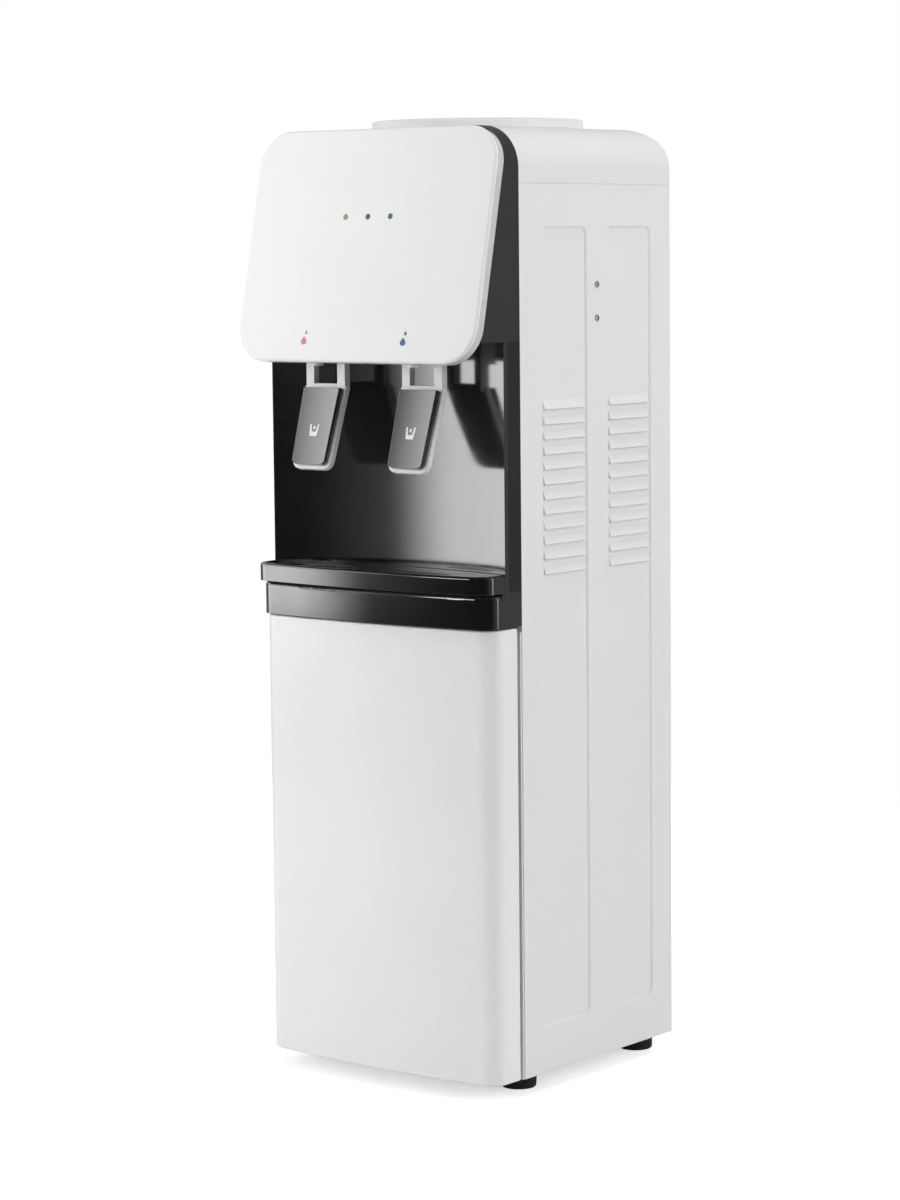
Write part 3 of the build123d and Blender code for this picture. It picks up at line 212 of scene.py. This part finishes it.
def white_gloss():
    material, shader = moulded(
        "white_gloss", colour=(0.90, 0.907, 0.907), drift=0.012, roughness=(0.13, 0.19),
        grain=70.0, depth=4e-6, edge=0.0008)
    shader.inputs["Specular IOR Level"].default_value = 0.3
    return material


def white_satin():
    material, _ = moulded(
        "white_satin", colour=(0.84, 0.845, 0.845), drift=0.015, roughness=(0.36, 0.46),
        grain=2600.0, depth=9e-6, edge=0.0008)
    return material


def bezel_grey():
    material, _ = moulded(
        "bezel_grey", colour=(0.62, 0.64, 0.645), drift=0.02, roughness=(0.22, 0.30),
        grain=1800.0, depth=5e-6)
    return material


def white_paint():
    """Powder coat: shallow orange peel on steel sheet."""
    material, shader = moulded(
        "white_paint", colour=(0.85, 0.85, 0.852), drift=0.012, roughness=(0.34, 0.46),
        grain=620.0, depth=1.6e-5, edge=0.0006)
    shader.inputs["Specular IOR Level"].default_value = 0.25
    return material


def black_satin():
    material, shader = moulded(
        "black_satin", colour=(0.028, 0.029, 0.030), drift=0.15, roughness=(0.30, 0.40),
        grain=2400.0, depth=1.2e-5)
    shader.inputs["Specular IOR Level"].default_value = 0.4
    return material


def black_gloss():
    """Polished black that mirrors strongly, so that soft cards are enough to light it."""
    material, shader = moulded(
        "black_gloss", colour=(0.0035, 0.0035, 0.0038), drift=0.2, roughness=(0.09, 0.13),
        grain=60.0, depth=5e-6)
    shader.inputs["IOR"].default_value = 2.0
    return material


def lever_grey():
    material, _ = moulded(
        "lever_grey", colour=(0.83, 0.84, 0.84), drift=0.02, roughness=(0.24, 0.32),
        grain=2200.0, depth=6e-6)
    return material


def pad_face():
    material, shader = moulded(
        "pad_face", colour=(0.010, 0.010, 0.011), drift=0.15, roughness=(0.15, 0.21),
        grain=900.0, depth=4e-6, edge=0.0004)
    shader.inputs["IOR"].default_value = 2.3
    return material


def black_plastic():
    material, shader = moulded(
        "black_plastic", colour=(0.016, 0.016, 0.017), drift=0.15, roughness=(0.40, 0.50),
        grain=2000.0, depth=1.5e-5)
    shader.inputs["Specular IOR Level"].default_value = 0.3
    return material


def box_grey():
    material, _ = moulded(
        "box_grey", colour=(0.45, 0.46, 0.47), drift=0.04, roughness=(0.40, 0.50),
        grain=1500.0, depth=1.5e-5)
    return material


def rocker(name, colour):
    material, _ = moulded(
        name, colour, drift=0.06, roughness=(0.16, 0.24), grain=1200.0, depth=4e-6, edge=0.0003)
    return material


def ink(name, colour):
    """Screen print: thin, slightly uneven ink."""
    material, _ = moulded(
        name, colour, drift=0.06, roughness=(0.35, 0.45), grain=3000.0, depth=4e-6, edge=0.00005)
    return material


def lamp_lens():
    """Three tinted lenses, told apart by their place across the fascia."""
    material, tree, shader = blank("lamp_lens")
    lowest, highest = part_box("led_lenses")
    across = node(tree, "SeparateXYZ", Vector=own_space(tree)).outputs["X"]
    share = node(tree, "MapRange", Value=across, From_Min=lowest.x, From_Max=highest.x)
    ramp = node(tree, "ValToRGB", Fac=share.outputs["Result"])
    ramp.color_ramp.interpolation = "CONSTANT"
    stops = ramp.color_ramp.elements
    stops[1].position = 1 / 3
    stops.new(2 / 3)
    for stop, colour in zip(stops, LENS_COLOURS):
        stop.color = (*colour, 1.0)
    tree.links.new(ramp.outputs["Color"], shader.inputs["Base Color"])
    roughness = between(tree, noise(tree, scale=400.0), low=0.06, high=0.14)
    tree.links.new(roughness, shader.inputs["Roughness"])
    shader.inputs["Coat Weight"].default_value = 0.6
    return material


# Rubber, foam and the inner parts

def black_rubber():
    material, shader = moulded(
        "black_rubber", colour=(0.018, 0.018, 0.018), drift=0.3, roughness=(0.62, 0.78),
        grain=1400.0, depth=3e-5)
    shader.inputs["Specular IOR Level"].default_value = 0.3
    return material


def hose_silicone():
    material, shader = moulded(
        "hose_silicone", colour=(0.74, 0.75, 0.72), drift=0.04, roughness=(0.30, 0.42),
        grain=900.0, depth=8e-6)
    shader.inputs["Subsurface Weight"].default_value = 0.3
    shader.inputs["Subsurface Radius"].default_value = (0.004, 0.004, 0.003)
    return material


def steel():
    return brushed(
        "steel", colour=(0.60, 0.61, 0.62), roughness=(0.24, 0.38), stretch=(1.0, 1.0, 30.0), depth=4e-6)


def aluminium():
    return brushed(
        "aluminium", colour=(0.74, 0.75, 0.76), roughness=(0.28, 0.42), stretch=(30.0, 30.0, 1.0), depth=6e-6)


def bead_foam():
    """Expanded beads: rounded cells with darker joints."""
    material, tree, shader = blank("bead_foam")
    cells = node(tree, "TexVoronoi", Vector=own_space(tree), Scale=320.0).outputs["Distance"]
    colour = shades(tree, cells, (0.88, 0.88, 0.86), (0.70, 0.70, 0.68))
    tree.links.new(colour, shader.inputs["Base Color"])
    roughness = between(tree, noise(tree, UNEVEN), low=0.75, high=0.9)
    tree.links.new(roughness, shader.inputs["Roughness"])
    inverse = node(tree, "MapRange", Value=cells, To_Min=1.0, To_Max=0.0).outputs["Result"]
    relief(tree, shader, inverse, depth=4e-4, edge=0.0005)
    return material


def module_ceramic():
    material, _ = moulded(
        "module_ceramic", colour=(0.86, 0.86, 0.84), drift=0.05, roughness=(0.45, 0.6),
        grain=1600.0, depth=8e-6, edge=0.0002)
    return material


def circuit_green():
    """Solder mask with lighter copper runs under it."""
    material, tree, shader = blank("circuit_green")
    runs = node(tree, "TexBrick", Vector=own_space(tree), Scale=160.0, Mortar_Size=0.03)
    runs.inputs["Color1"].default_value = (0.012, 0.075, 0.03, 1.0)
    runs.inputs["Color2"].default_value = (0.012, 0.085, 0.035, 1.0)
    runs.inputs["Mortar"].default_value = (0.03, 0.16, 0.06, 1.0)
    tree.links.new(runs.outputs["Color"], shader.inputs["Base Color"])
    roughness = between(tree, noise(tree, scale=300.0), low=0.2, high=0.34)
    tree.links.new(roughness, shader.inputs["Roughness"])
    relief(tree, shader, runs.outputs["Fac"], depth=2e-5, edge=0.0002)
    return material


# The nodes that each surface goes on
SURFACES = {
    white_gloss(): ("fascia_panel", "door_shell"),
    white_satin(): ("top_cover", "bottle_seat", "cabinet_liner", "door_liner", "feed_spike"),
    bezel_grey(): ("fascia_bezel",),
    white_paint(): ("side_panel_left", "side_panel_right", "rear_panel", "base_pan"),
    black_satin(): ("head_shell",),
    black_gloss(): ("niche_panel", "drip_tray", "drip_grille", "tray_housing"),
    pad_face(): ("tap_pad_hot", "tap_pad_cold"),
    lever_grey(): ("tap_lever_hot", "tap_lever_cold", "tap_body_hot", "tap_body_cold"),
    lamp_lens(): ("led_lenses",),
    circuit_green(): ("led_board",),
    black_rubber(): ("feet", "cord_gland"),
    hose_silicone(): ("hot_hose", "cold_hose"),
    steel(): (
        "cold_tank", "hot_tank", "feed_pipe", "drain_pipe", "tap_pin_hot", "tap_pin_cold", "tap_stem_hot",
        "tap_stem_cold", "hinge_bracket", "hinge_pin", "door_strike", "mid_deck", "tank_shelf",
        "side_screws", "rear_screws",
    ),
    aluminium(): ("cold_block", "heat_sink", "heater_band"),
    bead_foam(): ("cold_insulation",),
    module_ceramic(): ("peltier_module",),
    black_plastic(): (
        "front_frame", "fan_frame", "fan_rotor", "switch_body_hot", "switch_body_cold", "catch_magnet",
        "drain_cap",
    ),
    box_grey(): ("control_box",),
    rocker("rocker_red", (0.42, 0.012, 0.010)): ("rocker_hot",),
    rocker("rocker_green", (0.012, 0.20, 0.04)): ("rocker_cold",),
}
for material, names in SURFACES.items():
    for name in names:
        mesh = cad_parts[name].data
        mesh.materials.clear()
        mesh.materials.append(material)


# Piece helpers

def solid(name, shape):
    """New object from a finished bmesh."""
    mesh = bpy.data.meshes.new(name)
    bmesh.ops.recalc_face_normals(shape, faces=shape.faces)
    shape.to_mesh(mesh)
    shape.free()
    made = bpy.data.objects.new(name, mesh)
    bpy.context.scene.collection.objects.link(made)
    return made


def piece(name, shape, material, body):
    """New visible piece from a finished bmesh, riding on a body."""
    made = solid(name, shape)
    mesh = made.data
    mesh.polygons.foreach_set("use_smooth", [True] * len(mesh.polygons))
    mesh.set_sharp_from_angle(angle=SMOOTH_ANGLE)
    mesh.materials.append(material)
    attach(made, body)
    return made


def islands(name):
    """Lowest and highest corner of each separate solid of a CAD node."""
    shape = bmesh.new()
    shape.from_mesh(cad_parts[name].data)
    bmesh.ops.remove_doubles(shape, verts=shape.verts, dist=1e-7)
    left = set(shape.verts)
    found = []
    while left:
        group = [left.pop()]
        for vert in group:
            near = {edge.other_vert(vert) for edge in vert.link_edges} & left
            left -= near
            group.extend(near)
        axes = [[vert.co[i] for vert in group] for i in range(3)]
        found.append((Vector(map(min, axes)), Vector(map(max, axes))))
    shape.free()
    return sorted(found, key=lambda corners: tuple(corners[0]))


def turned(shape, profile, sides, matrix=Matrix()):
    """Add a turned solid; its profile of (radius, height) points starts and ends on the axis."""
    rings = []
    for radius, height in profile:
        angles = [2 * pi * i / sides for i in range(sides if radius else 1)]
        points = [Vector((radius * cos(a), radius * sin(a), height)) for a in angles]
        rings.append([shape.verts.new(matrix @ point) for point in points])
    for low, high in zip(rings, rings[1:]):
        for i in range(sides):
            j = i + 1
            corners = [low[i % len(low)], low[j % len(low)], high[j % len(high)], high[i % len(high)]]
            shape.faces.new(dict.fromkeys(corners))


# Printed marks

FORWARDS = Vector((0.0, -1.0, 0.0))
BACKWARDS = Vector((0.0, 1.0, 0.0))
PRINT_REACH = 0.01


class Print:
    """Marks printed on the outer surface of a CAD node, drawn round a place across and up."""

    def __init__(self, node_name, x, z, facing):
        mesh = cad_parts[node_name].data
        corners = [vert.co for vert in mesh.vertices]
        self.surface = BVHTree.FromPolygons(corners, [face.vertices for face in mesh.polygons])
        self.shape = bmesh.new()
        place, self.out, _, _ = self.surface.ray_cast(Vector((x, 0.0, z)) + facing, -facing)
        across = Vector((0.0, 0.0, 1.0)).cross(self.out).normalized()
        turn = Matrix((across, self.out.cross(across), self.out)).transposed()
        self.stand = Matrix.Translation(place) @ turn.to_4x4()

    def corner(self, x, y):
        """Corner of a mark, dropped on to the surface."""
        above = self.stand @ Vector((x, y, PRINT_REACH))
        place, _, _, _ = self.surface.ray_cast(above, -self.out)
        return self.shape.verts.new(place)

    def raise_faces(self, faces):
        """Give flat faces the thickness of the ink."""
        raised = bmesh.ops.extrude_face_region(self.shape, geom=faces)["geom"]
        tops = [part for part in raised if isinstance(part, bmesh.types.BMVert)]
        bmesh.ops.translate(self.shape, verts=tops, vec=self.out * INK)

    def patch(self, outline):
        """Print the inside of a closed outline."""
        self.raise_faces([self.shape.faces.new([self.corner(x, y) for x, y in outline])])

    def band(self, outer, inner):
        """Print between two closed outlines with as many points each."""
        far = [self.corner(x, y) for x, y in outer]
        near = [self.corner(x, y) for x, y in inner]
        count = len(far)
        steps = [(i, (i + 1) % count) for i in range(count)]
        self.raise_faces([self.shape.faces.new((far[i], far[j], near[j], near[i])) for i, j in steps])


def round_turns():
    """Angles of the points round a curved outline."""
    return [2 * pi * i / ROUND_POINTS for i in range(ROUND_POINTS)]


def drop_outline(size, place=(0.0, 0.0)):
    """Water drop with its tip up."""
    width, height = size
    x, y = place
    bulge = width * DROP_BULGE
    return [(x + bulge * sin(t) * abs(sin(t / 2)), y + height / 2 * cos(t)) for t in round_turns()]


def circle_outline(radius, up):
    """Circle at a height."""
    return [(radius * cos(t), up + radius * sin(t)) for t in round_turns()]


def box_outline(size, up):
    """Upright box at a height."""
    width, height = size
    corners = ((-0.5, -0.5), (0.5, -0.5), (0.5, 0.5), (-0.5, 0.5))
    return [(width * across, up + height * rise) for across, rise in corners]


def cup_outline():
    """Open cup with a thick foot, round its own middle: outer wall, then the inner wall back."""
    top = CUP_WIDTH / 2
    foot = CUP_FOOT / 2
    middle = CUP_HEIGHT / 2
    right = [(foot, -middle), (top, middle), (top - CUP_LINE, middle), (foot - CUP_LINE, CUP_FILL - middle)]
    return right + [(-x, y) for x, y in reversed(right)]


def middle_of(name):
    """Middle of a CAD node's box."""
    low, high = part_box(name)
    return (low + high) / 2


def drop_mark(tap, side, colour):
    """A large and a small drop on the fascia, over a tap."""
    drops = Print("fascia_panel", side * DROP_SIDE, DROP_Z, FORWARDS)
    drops.patch(drop_outline(DROP_SIZE))
    drops.patch(drop_outline(SMALL_DROP_SIZE, SMALL_DROP_PLACE))
    piece(f"{tap}_drop_mark", drops.shape, colour, "cooler_body")


def cup_mark(tap, colour):
    """A cup with a drop over it, on a lever pad."""
    pad = f"tap_pad_{tap}"
    middle = middle_of(pad)
    cup = Print(pad, middle.x, middle.z - CUP_LOW, FORWARDS)
    cup.patch(cup_outline())
    cup.patch(drop_outline(CUP_DROP_SIZE, CUP_DROP_PLACE))
    piece(f"{tap}_cup_mark", cup.shape, colour, f"lever_{tap}")


def switch_mark(tap, colour):
    """A line and a ring, for on and off, on a rear rocker."""
    middle = middle_of(f"rocker_{tap}")
    on_off = Print(f"rocker_{tap}", middle.x, middle.z, BACKWARDS)
    on_off.patch(box_outline(SWITCH_LINE, SWITCH_MARK))
    ring = [circle_outline(radius, -SWITCH_MARK) for radius in (SWITCH_RING_OUTER, SWITCH_RING_INNER)]
    on_off.band(*ring)
    piece(f"{tap}_switch_mark", on_off.shape, colour, f"rocker_{tap}")


red_ink = ink("red_ink", (0.66, 0.20, 0.19))
blue_ink = ink("blue_ink", (0.030, 0.11, 0.27))
white_ink = ink("white_ink", (0.86, 0.87, 0.87))

for tap, side, drop_ink in (("hot", -1, red_ink), ("cold", 1, blue_ink)):
    drop_mark(tap, side, drop_ink)
    cup_mark(tap, white_ink)
    switch_mark(tap, white_ink)


# Screws with cross recesses, and the rubber feet

def cross_cutter():
    """Tapered cross that reaches down into a screw head."""
    arm = RECESS_LONG / 2
    half = RECESS_WIDE / 2
    quarter = [Vector((arm, -half)), Vector((arm, half)), Vector((half, half))]
    turns = [Matrix.Rotation(pi / 2 * i, 2) for i in range(4)]
    outline = [turn @ point for turn in turns for point in quarter]
    shape = bmesh.new()
    high = [shape.verts.new((p.x, p.y, SCREW_HEAD_TALL + RECESS_DEEP)) for p in outline]
    low = [shape.verts.new((*(p * RECESS_TAPER), SCREW_HEAD_TALL - RECESS_DEEP)) for p in outline]
    shape.faces.new(high)
    shape.faces.new(low)
    for i in range(len(outline)):
        shape.faces.new((low[i - 1], low[i], high[i], high[i - 1]))
    return solid("cross_cutter", shape)


def screw_mesh(head, shank, length):
    """Pan-head screw along +Z, with the seat of its head at zero and a cross cut into the head."""
    tip = [(0.0, -length), (shank / 2, -length), (shank, shank - length), (shank, 0.0), (head, 0.0)]
    rise = 1.0 - SCREW_RIM
    dome = [(head * cos(a), SCREW_HEAD_TALL * (SCREW_RIM + rise * sin(a))) for a in SCREW_DOME]
    shape = bmesh.new()
    turned(shape, tip + dome + [(0.0, SCREW_HEAD_TALL)], SCREW_SIDES)
    blank_screw = solid("blank_screw", shape)
    cutter = cross_cutter()
    cut = blank_screw.modifiers.new("recess", "BOOLEAN")
    cut.object = cutter
    view = bpy.context.evaluated_depsgraph_get()
    made = bpy.data.meshes.new_from_object(blank_screw.evaluated_get(view))
    for spent in (blank_screw, cutter):
        bpy.data.meshes.remove(spent.data)
    return made


def put_screws(name, axis):
    """Detailed screws in the places of a CAD node's plain ones, whose shanks lie along an axis."""
    shape = bmesh.new()
    for i, (low, high) in enumerate(islands(name)):
        middle = (low + high) / 2
        out = Vector((0.0, 0.0, 0.0))
        out[axis] = 1 if middle[axis] > 0 else -1
        head = (high.z - low.z) / 2
        long = (high - low)[axis]
        seat = middle + out * (long / 2 - SCREW_HEAD_TALL)
        turn = out.to_track_quat("Z", "Y").to_matrix().to_4x4() @ Matrix.Rotation(SCREW_TURN * i, 4, "Z")
        screw = screw_mesh(head, head / 2, long - SCREW_HEAD_TALL)
        screw.transform(Matrix.Translation(seat) @ turn)
        shape.from_mesh(screw)
        bpy.data.meshes.remove(screw)
    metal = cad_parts[name].data.materials[0]
    made = piece(f"{name}_detailed", shape, metal, "cooler_body")
    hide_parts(name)


def put_feet():
    """Moulded feet with a hollow below, a groove round the middle and eased edges."""
    shape = bmesh.new()
    for low, high in islands("feet"):
        wide = (high.x - low.x) / 2
        tall = high.z - low.z
        profile = [(wide * across, tall * up) for across, up in FOOT_PROFILE]
        stand = Matrix.Translation(((low.x + high.x) / 2, (low.y + high.y) / 2, low.z))
        turned(shape, profile, FOOT_SIDES, stand)
    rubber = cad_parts["feet"].data.materials[0]
    made = piece("feet_detailed", shape, rubber, "cooler_body")
    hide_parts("feet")


put_screws("side_screws", 0)
put_screws("rear_screws", 1)
put_feet()


# Light, floor and camera

def softbox(name, azimuth, elevation, distance, size, radiance, fade, rays):
    """Lamp that faces the object; azimuth 0 is straight in front.

    Its edges fade out over a share of its width and of its height.
    """
    a = radians(azimuth)
    e = radians(elevation)
    out = Vector((sin(a) * cos(e), -cos(a) * cos(e), sin(e)))
    width, height = size
    lamp = bpy.data.lights.new(name, "AREA")
    lamp.shape = "RECTANGLE"
    lamp.size = width
    lamp.size_y = height
    lamp.energy = radiance * pi * width * height
    lamp.use_nodes = True
    tree = lamp.node_tree
    across = node(tree, "SeparateXYZ", Vector=node(tree, "NewGeometry").outputs["Parametric"])
    product = node(tree, "Math")
    product.operation = "MULTIPLY"
    for i, share in enumerate(fade):
        fold = node(tree, "Math")
        fold.operation = "PINGPONG"
        tree.links.new(across.outputs[i], fold.inputs[0])
        fold.inputs[1].default_value = 0.5
        ease = node(tree, "MapRange", Value=fold.outputs[0], From_Min=0.0, From_Max=share)
        ease.interpolation_type = "SMOOTHSTEP"
        tree.links.new(ease.outputs["Result"], product.inputs[i])
    tree.links.new(product.outputs[0], tree.nodes["Emission"].inputs["Strength"])
    made = bpy.data.objects.new(name, lamp)
    made.location = TARGET + out * distance
    made.rotation_mode = "QUATERNION"
    made.rotation_quaternion = out.to_track_quat("Z", "Y")
    made.visible_camera = False
    made.visible_diffuse = "diffuse" in rays
    made.visible_glossy = "glossy" in rays
    bpy.context.scene.collection.objects.link(made)


def studio_lamps():
    """Cards on the left that only show in gloss, then the lamps that light the colours."""
    softbox("left_card", azimuth=-62.0, elevation=-0.9, distance=2.0, size=(1.81, 0.70),
            radiance=3.7, fade=(0.286, 0.2), rays="glossy")
    softbox("left_glow", azimuth=-58.0, elevation=-0.9, distance=2.1, size=(3.1, 0.70),
            radiance=0.36, fade=(0.4, 0.2), rays="glossy")
    softbox("high_card", azimuth=-72.0, elevation=23.0, distance=2.0, size=(3.2, 1.1),
            radiance=2.4, fade=(0.30, 0.15), rays="glossy")
    softbox("edge_card", azimuth=-26.0, elevation=13.0, distance=2.0, size=(0.42, 0.5),
            radiance=9.6, fade=(0.35, 0.35), rays="glossy")
    softbox("front_fill", azimuth=-36.0, elevation=12.0, distance=2.0, size=(1.6, 2.0),
            radiance=5.1, fade=(0.3, 0.2), rays="diffuse")
    softbox("left_fill", azimuth=-115.0, elevation=15.0, distance=2.2, size=(1.6, 1.6),
            radiance=1.7, fade=(0.3, 0.2), rays="diffuse")
    softbox("top_fill", azimuth=40.0, elevation=70.0, distance=2.2, size=(1.6, 1.2),
            radiance=5.2, fade=(0.3, 0.3), rays="diffuse")
    softbox("right_strip", azimuth=115.0, elevation=10.0, distance=2.2, size=(0.22, 1.8),
            radiance=5.0, fade=(0.3, 0.2), rays="diffuse glossy")
    softbox("right_fill", azimuth=95.0, elevation=20.0, distance=2.2, size=(1.2, 1.6),
            radiance=5.5, fade=(0.3, 0.2), rays="diffuse")
    softbox("rear_fill", azimuth=180.0, elevation=25.0, distance=2.2, size=(1.6, 1.6),
            radiance=3.3, fade=(0.3, 0.2), rays="diffuse")


def studio_world():
    """White backdrop for the camera and through clear parts; else a room, dark in front and paler behind."""
    world = bpy.data.worlds.new("studio")
    bpy.context.scene.world = world
    world.use_nodes = True
    tree = world.node_tree
    room = tree.nodes["Background"]
    room.inputs["Color"].default_value = (1.0, 1.0, 1.0, 1.0)
    direction = node(tree, "TexCoord").outputs["Generated"]
    depth = node(tree, "SeparateXYZ", Vector=direction).outputs["Y"]
    level = node(tree, "MapRange", Value=depth, From_Min=ROOM_TURN_START, From_Max=ROOM_TURN_END)
    level.inputs["To Min"].default_value = ROOM_FRONT
    level.inputs["To Max"].default_value = ROOM_BACK
    level.interpolation_type = "SMOOTHSTEP"
    tree.links.new(level.outputs["Result"], room.inputs["Strength"])
    backdrop = node(tree, "Background", Color=(1.0, 1.0, 1.0, 1.0), Strength=1.0)
    path = node(tree, "LightPath")
    seen = node(tree, "Math")
    seen.operation = "MAXIMUM"
    tree.links.new(path.outputs["Is Camera Ray"], seen.inputs[0])
    tree.links.new(path.outputs["Is Transmission Ray"], seen.inputs[1])
    choose = node(tree, "MixShader", Fac=seen.outputs[0])
    tree.links.new(room.outputs["Background"], choose.inputs[1])
    tree.links.new(backdrop.outputs["Background"], choose.inputs[2])
    tree.links.new(choose.outputs["Shader"], tree.nodes["World Output"].inputs["Surface"])


def studio_floor():
    """Pale floor that reaches white for the camera and keeps the shadow."""
    shape = bmesh.new()
    bmesh.ops.create_grid(shape, x_segments=1, y_segments=1, size=FLOOR_REACH)
    mesh = bpy.data.meshes.new("studio_floor")
    shape.to_mesh(mesh)
    shape.free()
    material, tree, shader = blank("studio_floor")
    shader.inputs["Base Color"].default_value = (FLOOR_GREY, FLOOR_GREY, FLOOR_GREY, 1.0)
    shader.inputs["Roughness"].default_value = 0.9
    shader.inputs["Specular IOR Level"].default_value = 0.1
    path = node(tree, "LightPath")
    lift = node(tree, "Math")
    lift.operation = "MULTIPLY"
    tree.links.new(path.outputs["Is Camera Ray"], lift.inputs[0])
    lift.inputs[1].default_value = FLOOR_LIFT
    shader.inputs["Emission Color"].default_value = (1.0, 1.0, 1.0, 1.0)
    tree.links.new(lift.outputs[0], shader.inputs["Emission Strength"])
    mesh.materials.append(material)
    floor = bpy.data.objects.new("studio_floor", mesh)
    bpy.context.scene.collection.objects.link(floor)


def studio_camera():
    """Camera at the photo's viewing angle."""
    lens = bpy.data.cameras.new("camera")
    lens.lens = CAMERA_LENS
    lens.sensor_width = SENSOR_WIDTH
    lens.clip_end = VIEW_END
    camera = bpy.data.objects.new("camera", lens)
    turn = Matrix.Rotation(CAMERA_YAW, 4, "Z") @ Matrix.Rotation(pi / 2 - CAMERA_PITCH, 4, "X")
    camera.matrix_world = Matrix.Translation(CAMERA_PLACE) @ turn @ Matrix.Rotation(CAMERA_ROLL, 4, "Z")
    bpy.context.scene.collection.objects.link(camera)
    bpy.context.scene.camera = camera


studio_lamps()
studio_world()
studio_floor()
studio_camera()
bpy.context.scene.view_settings.view_transform = "Standard"
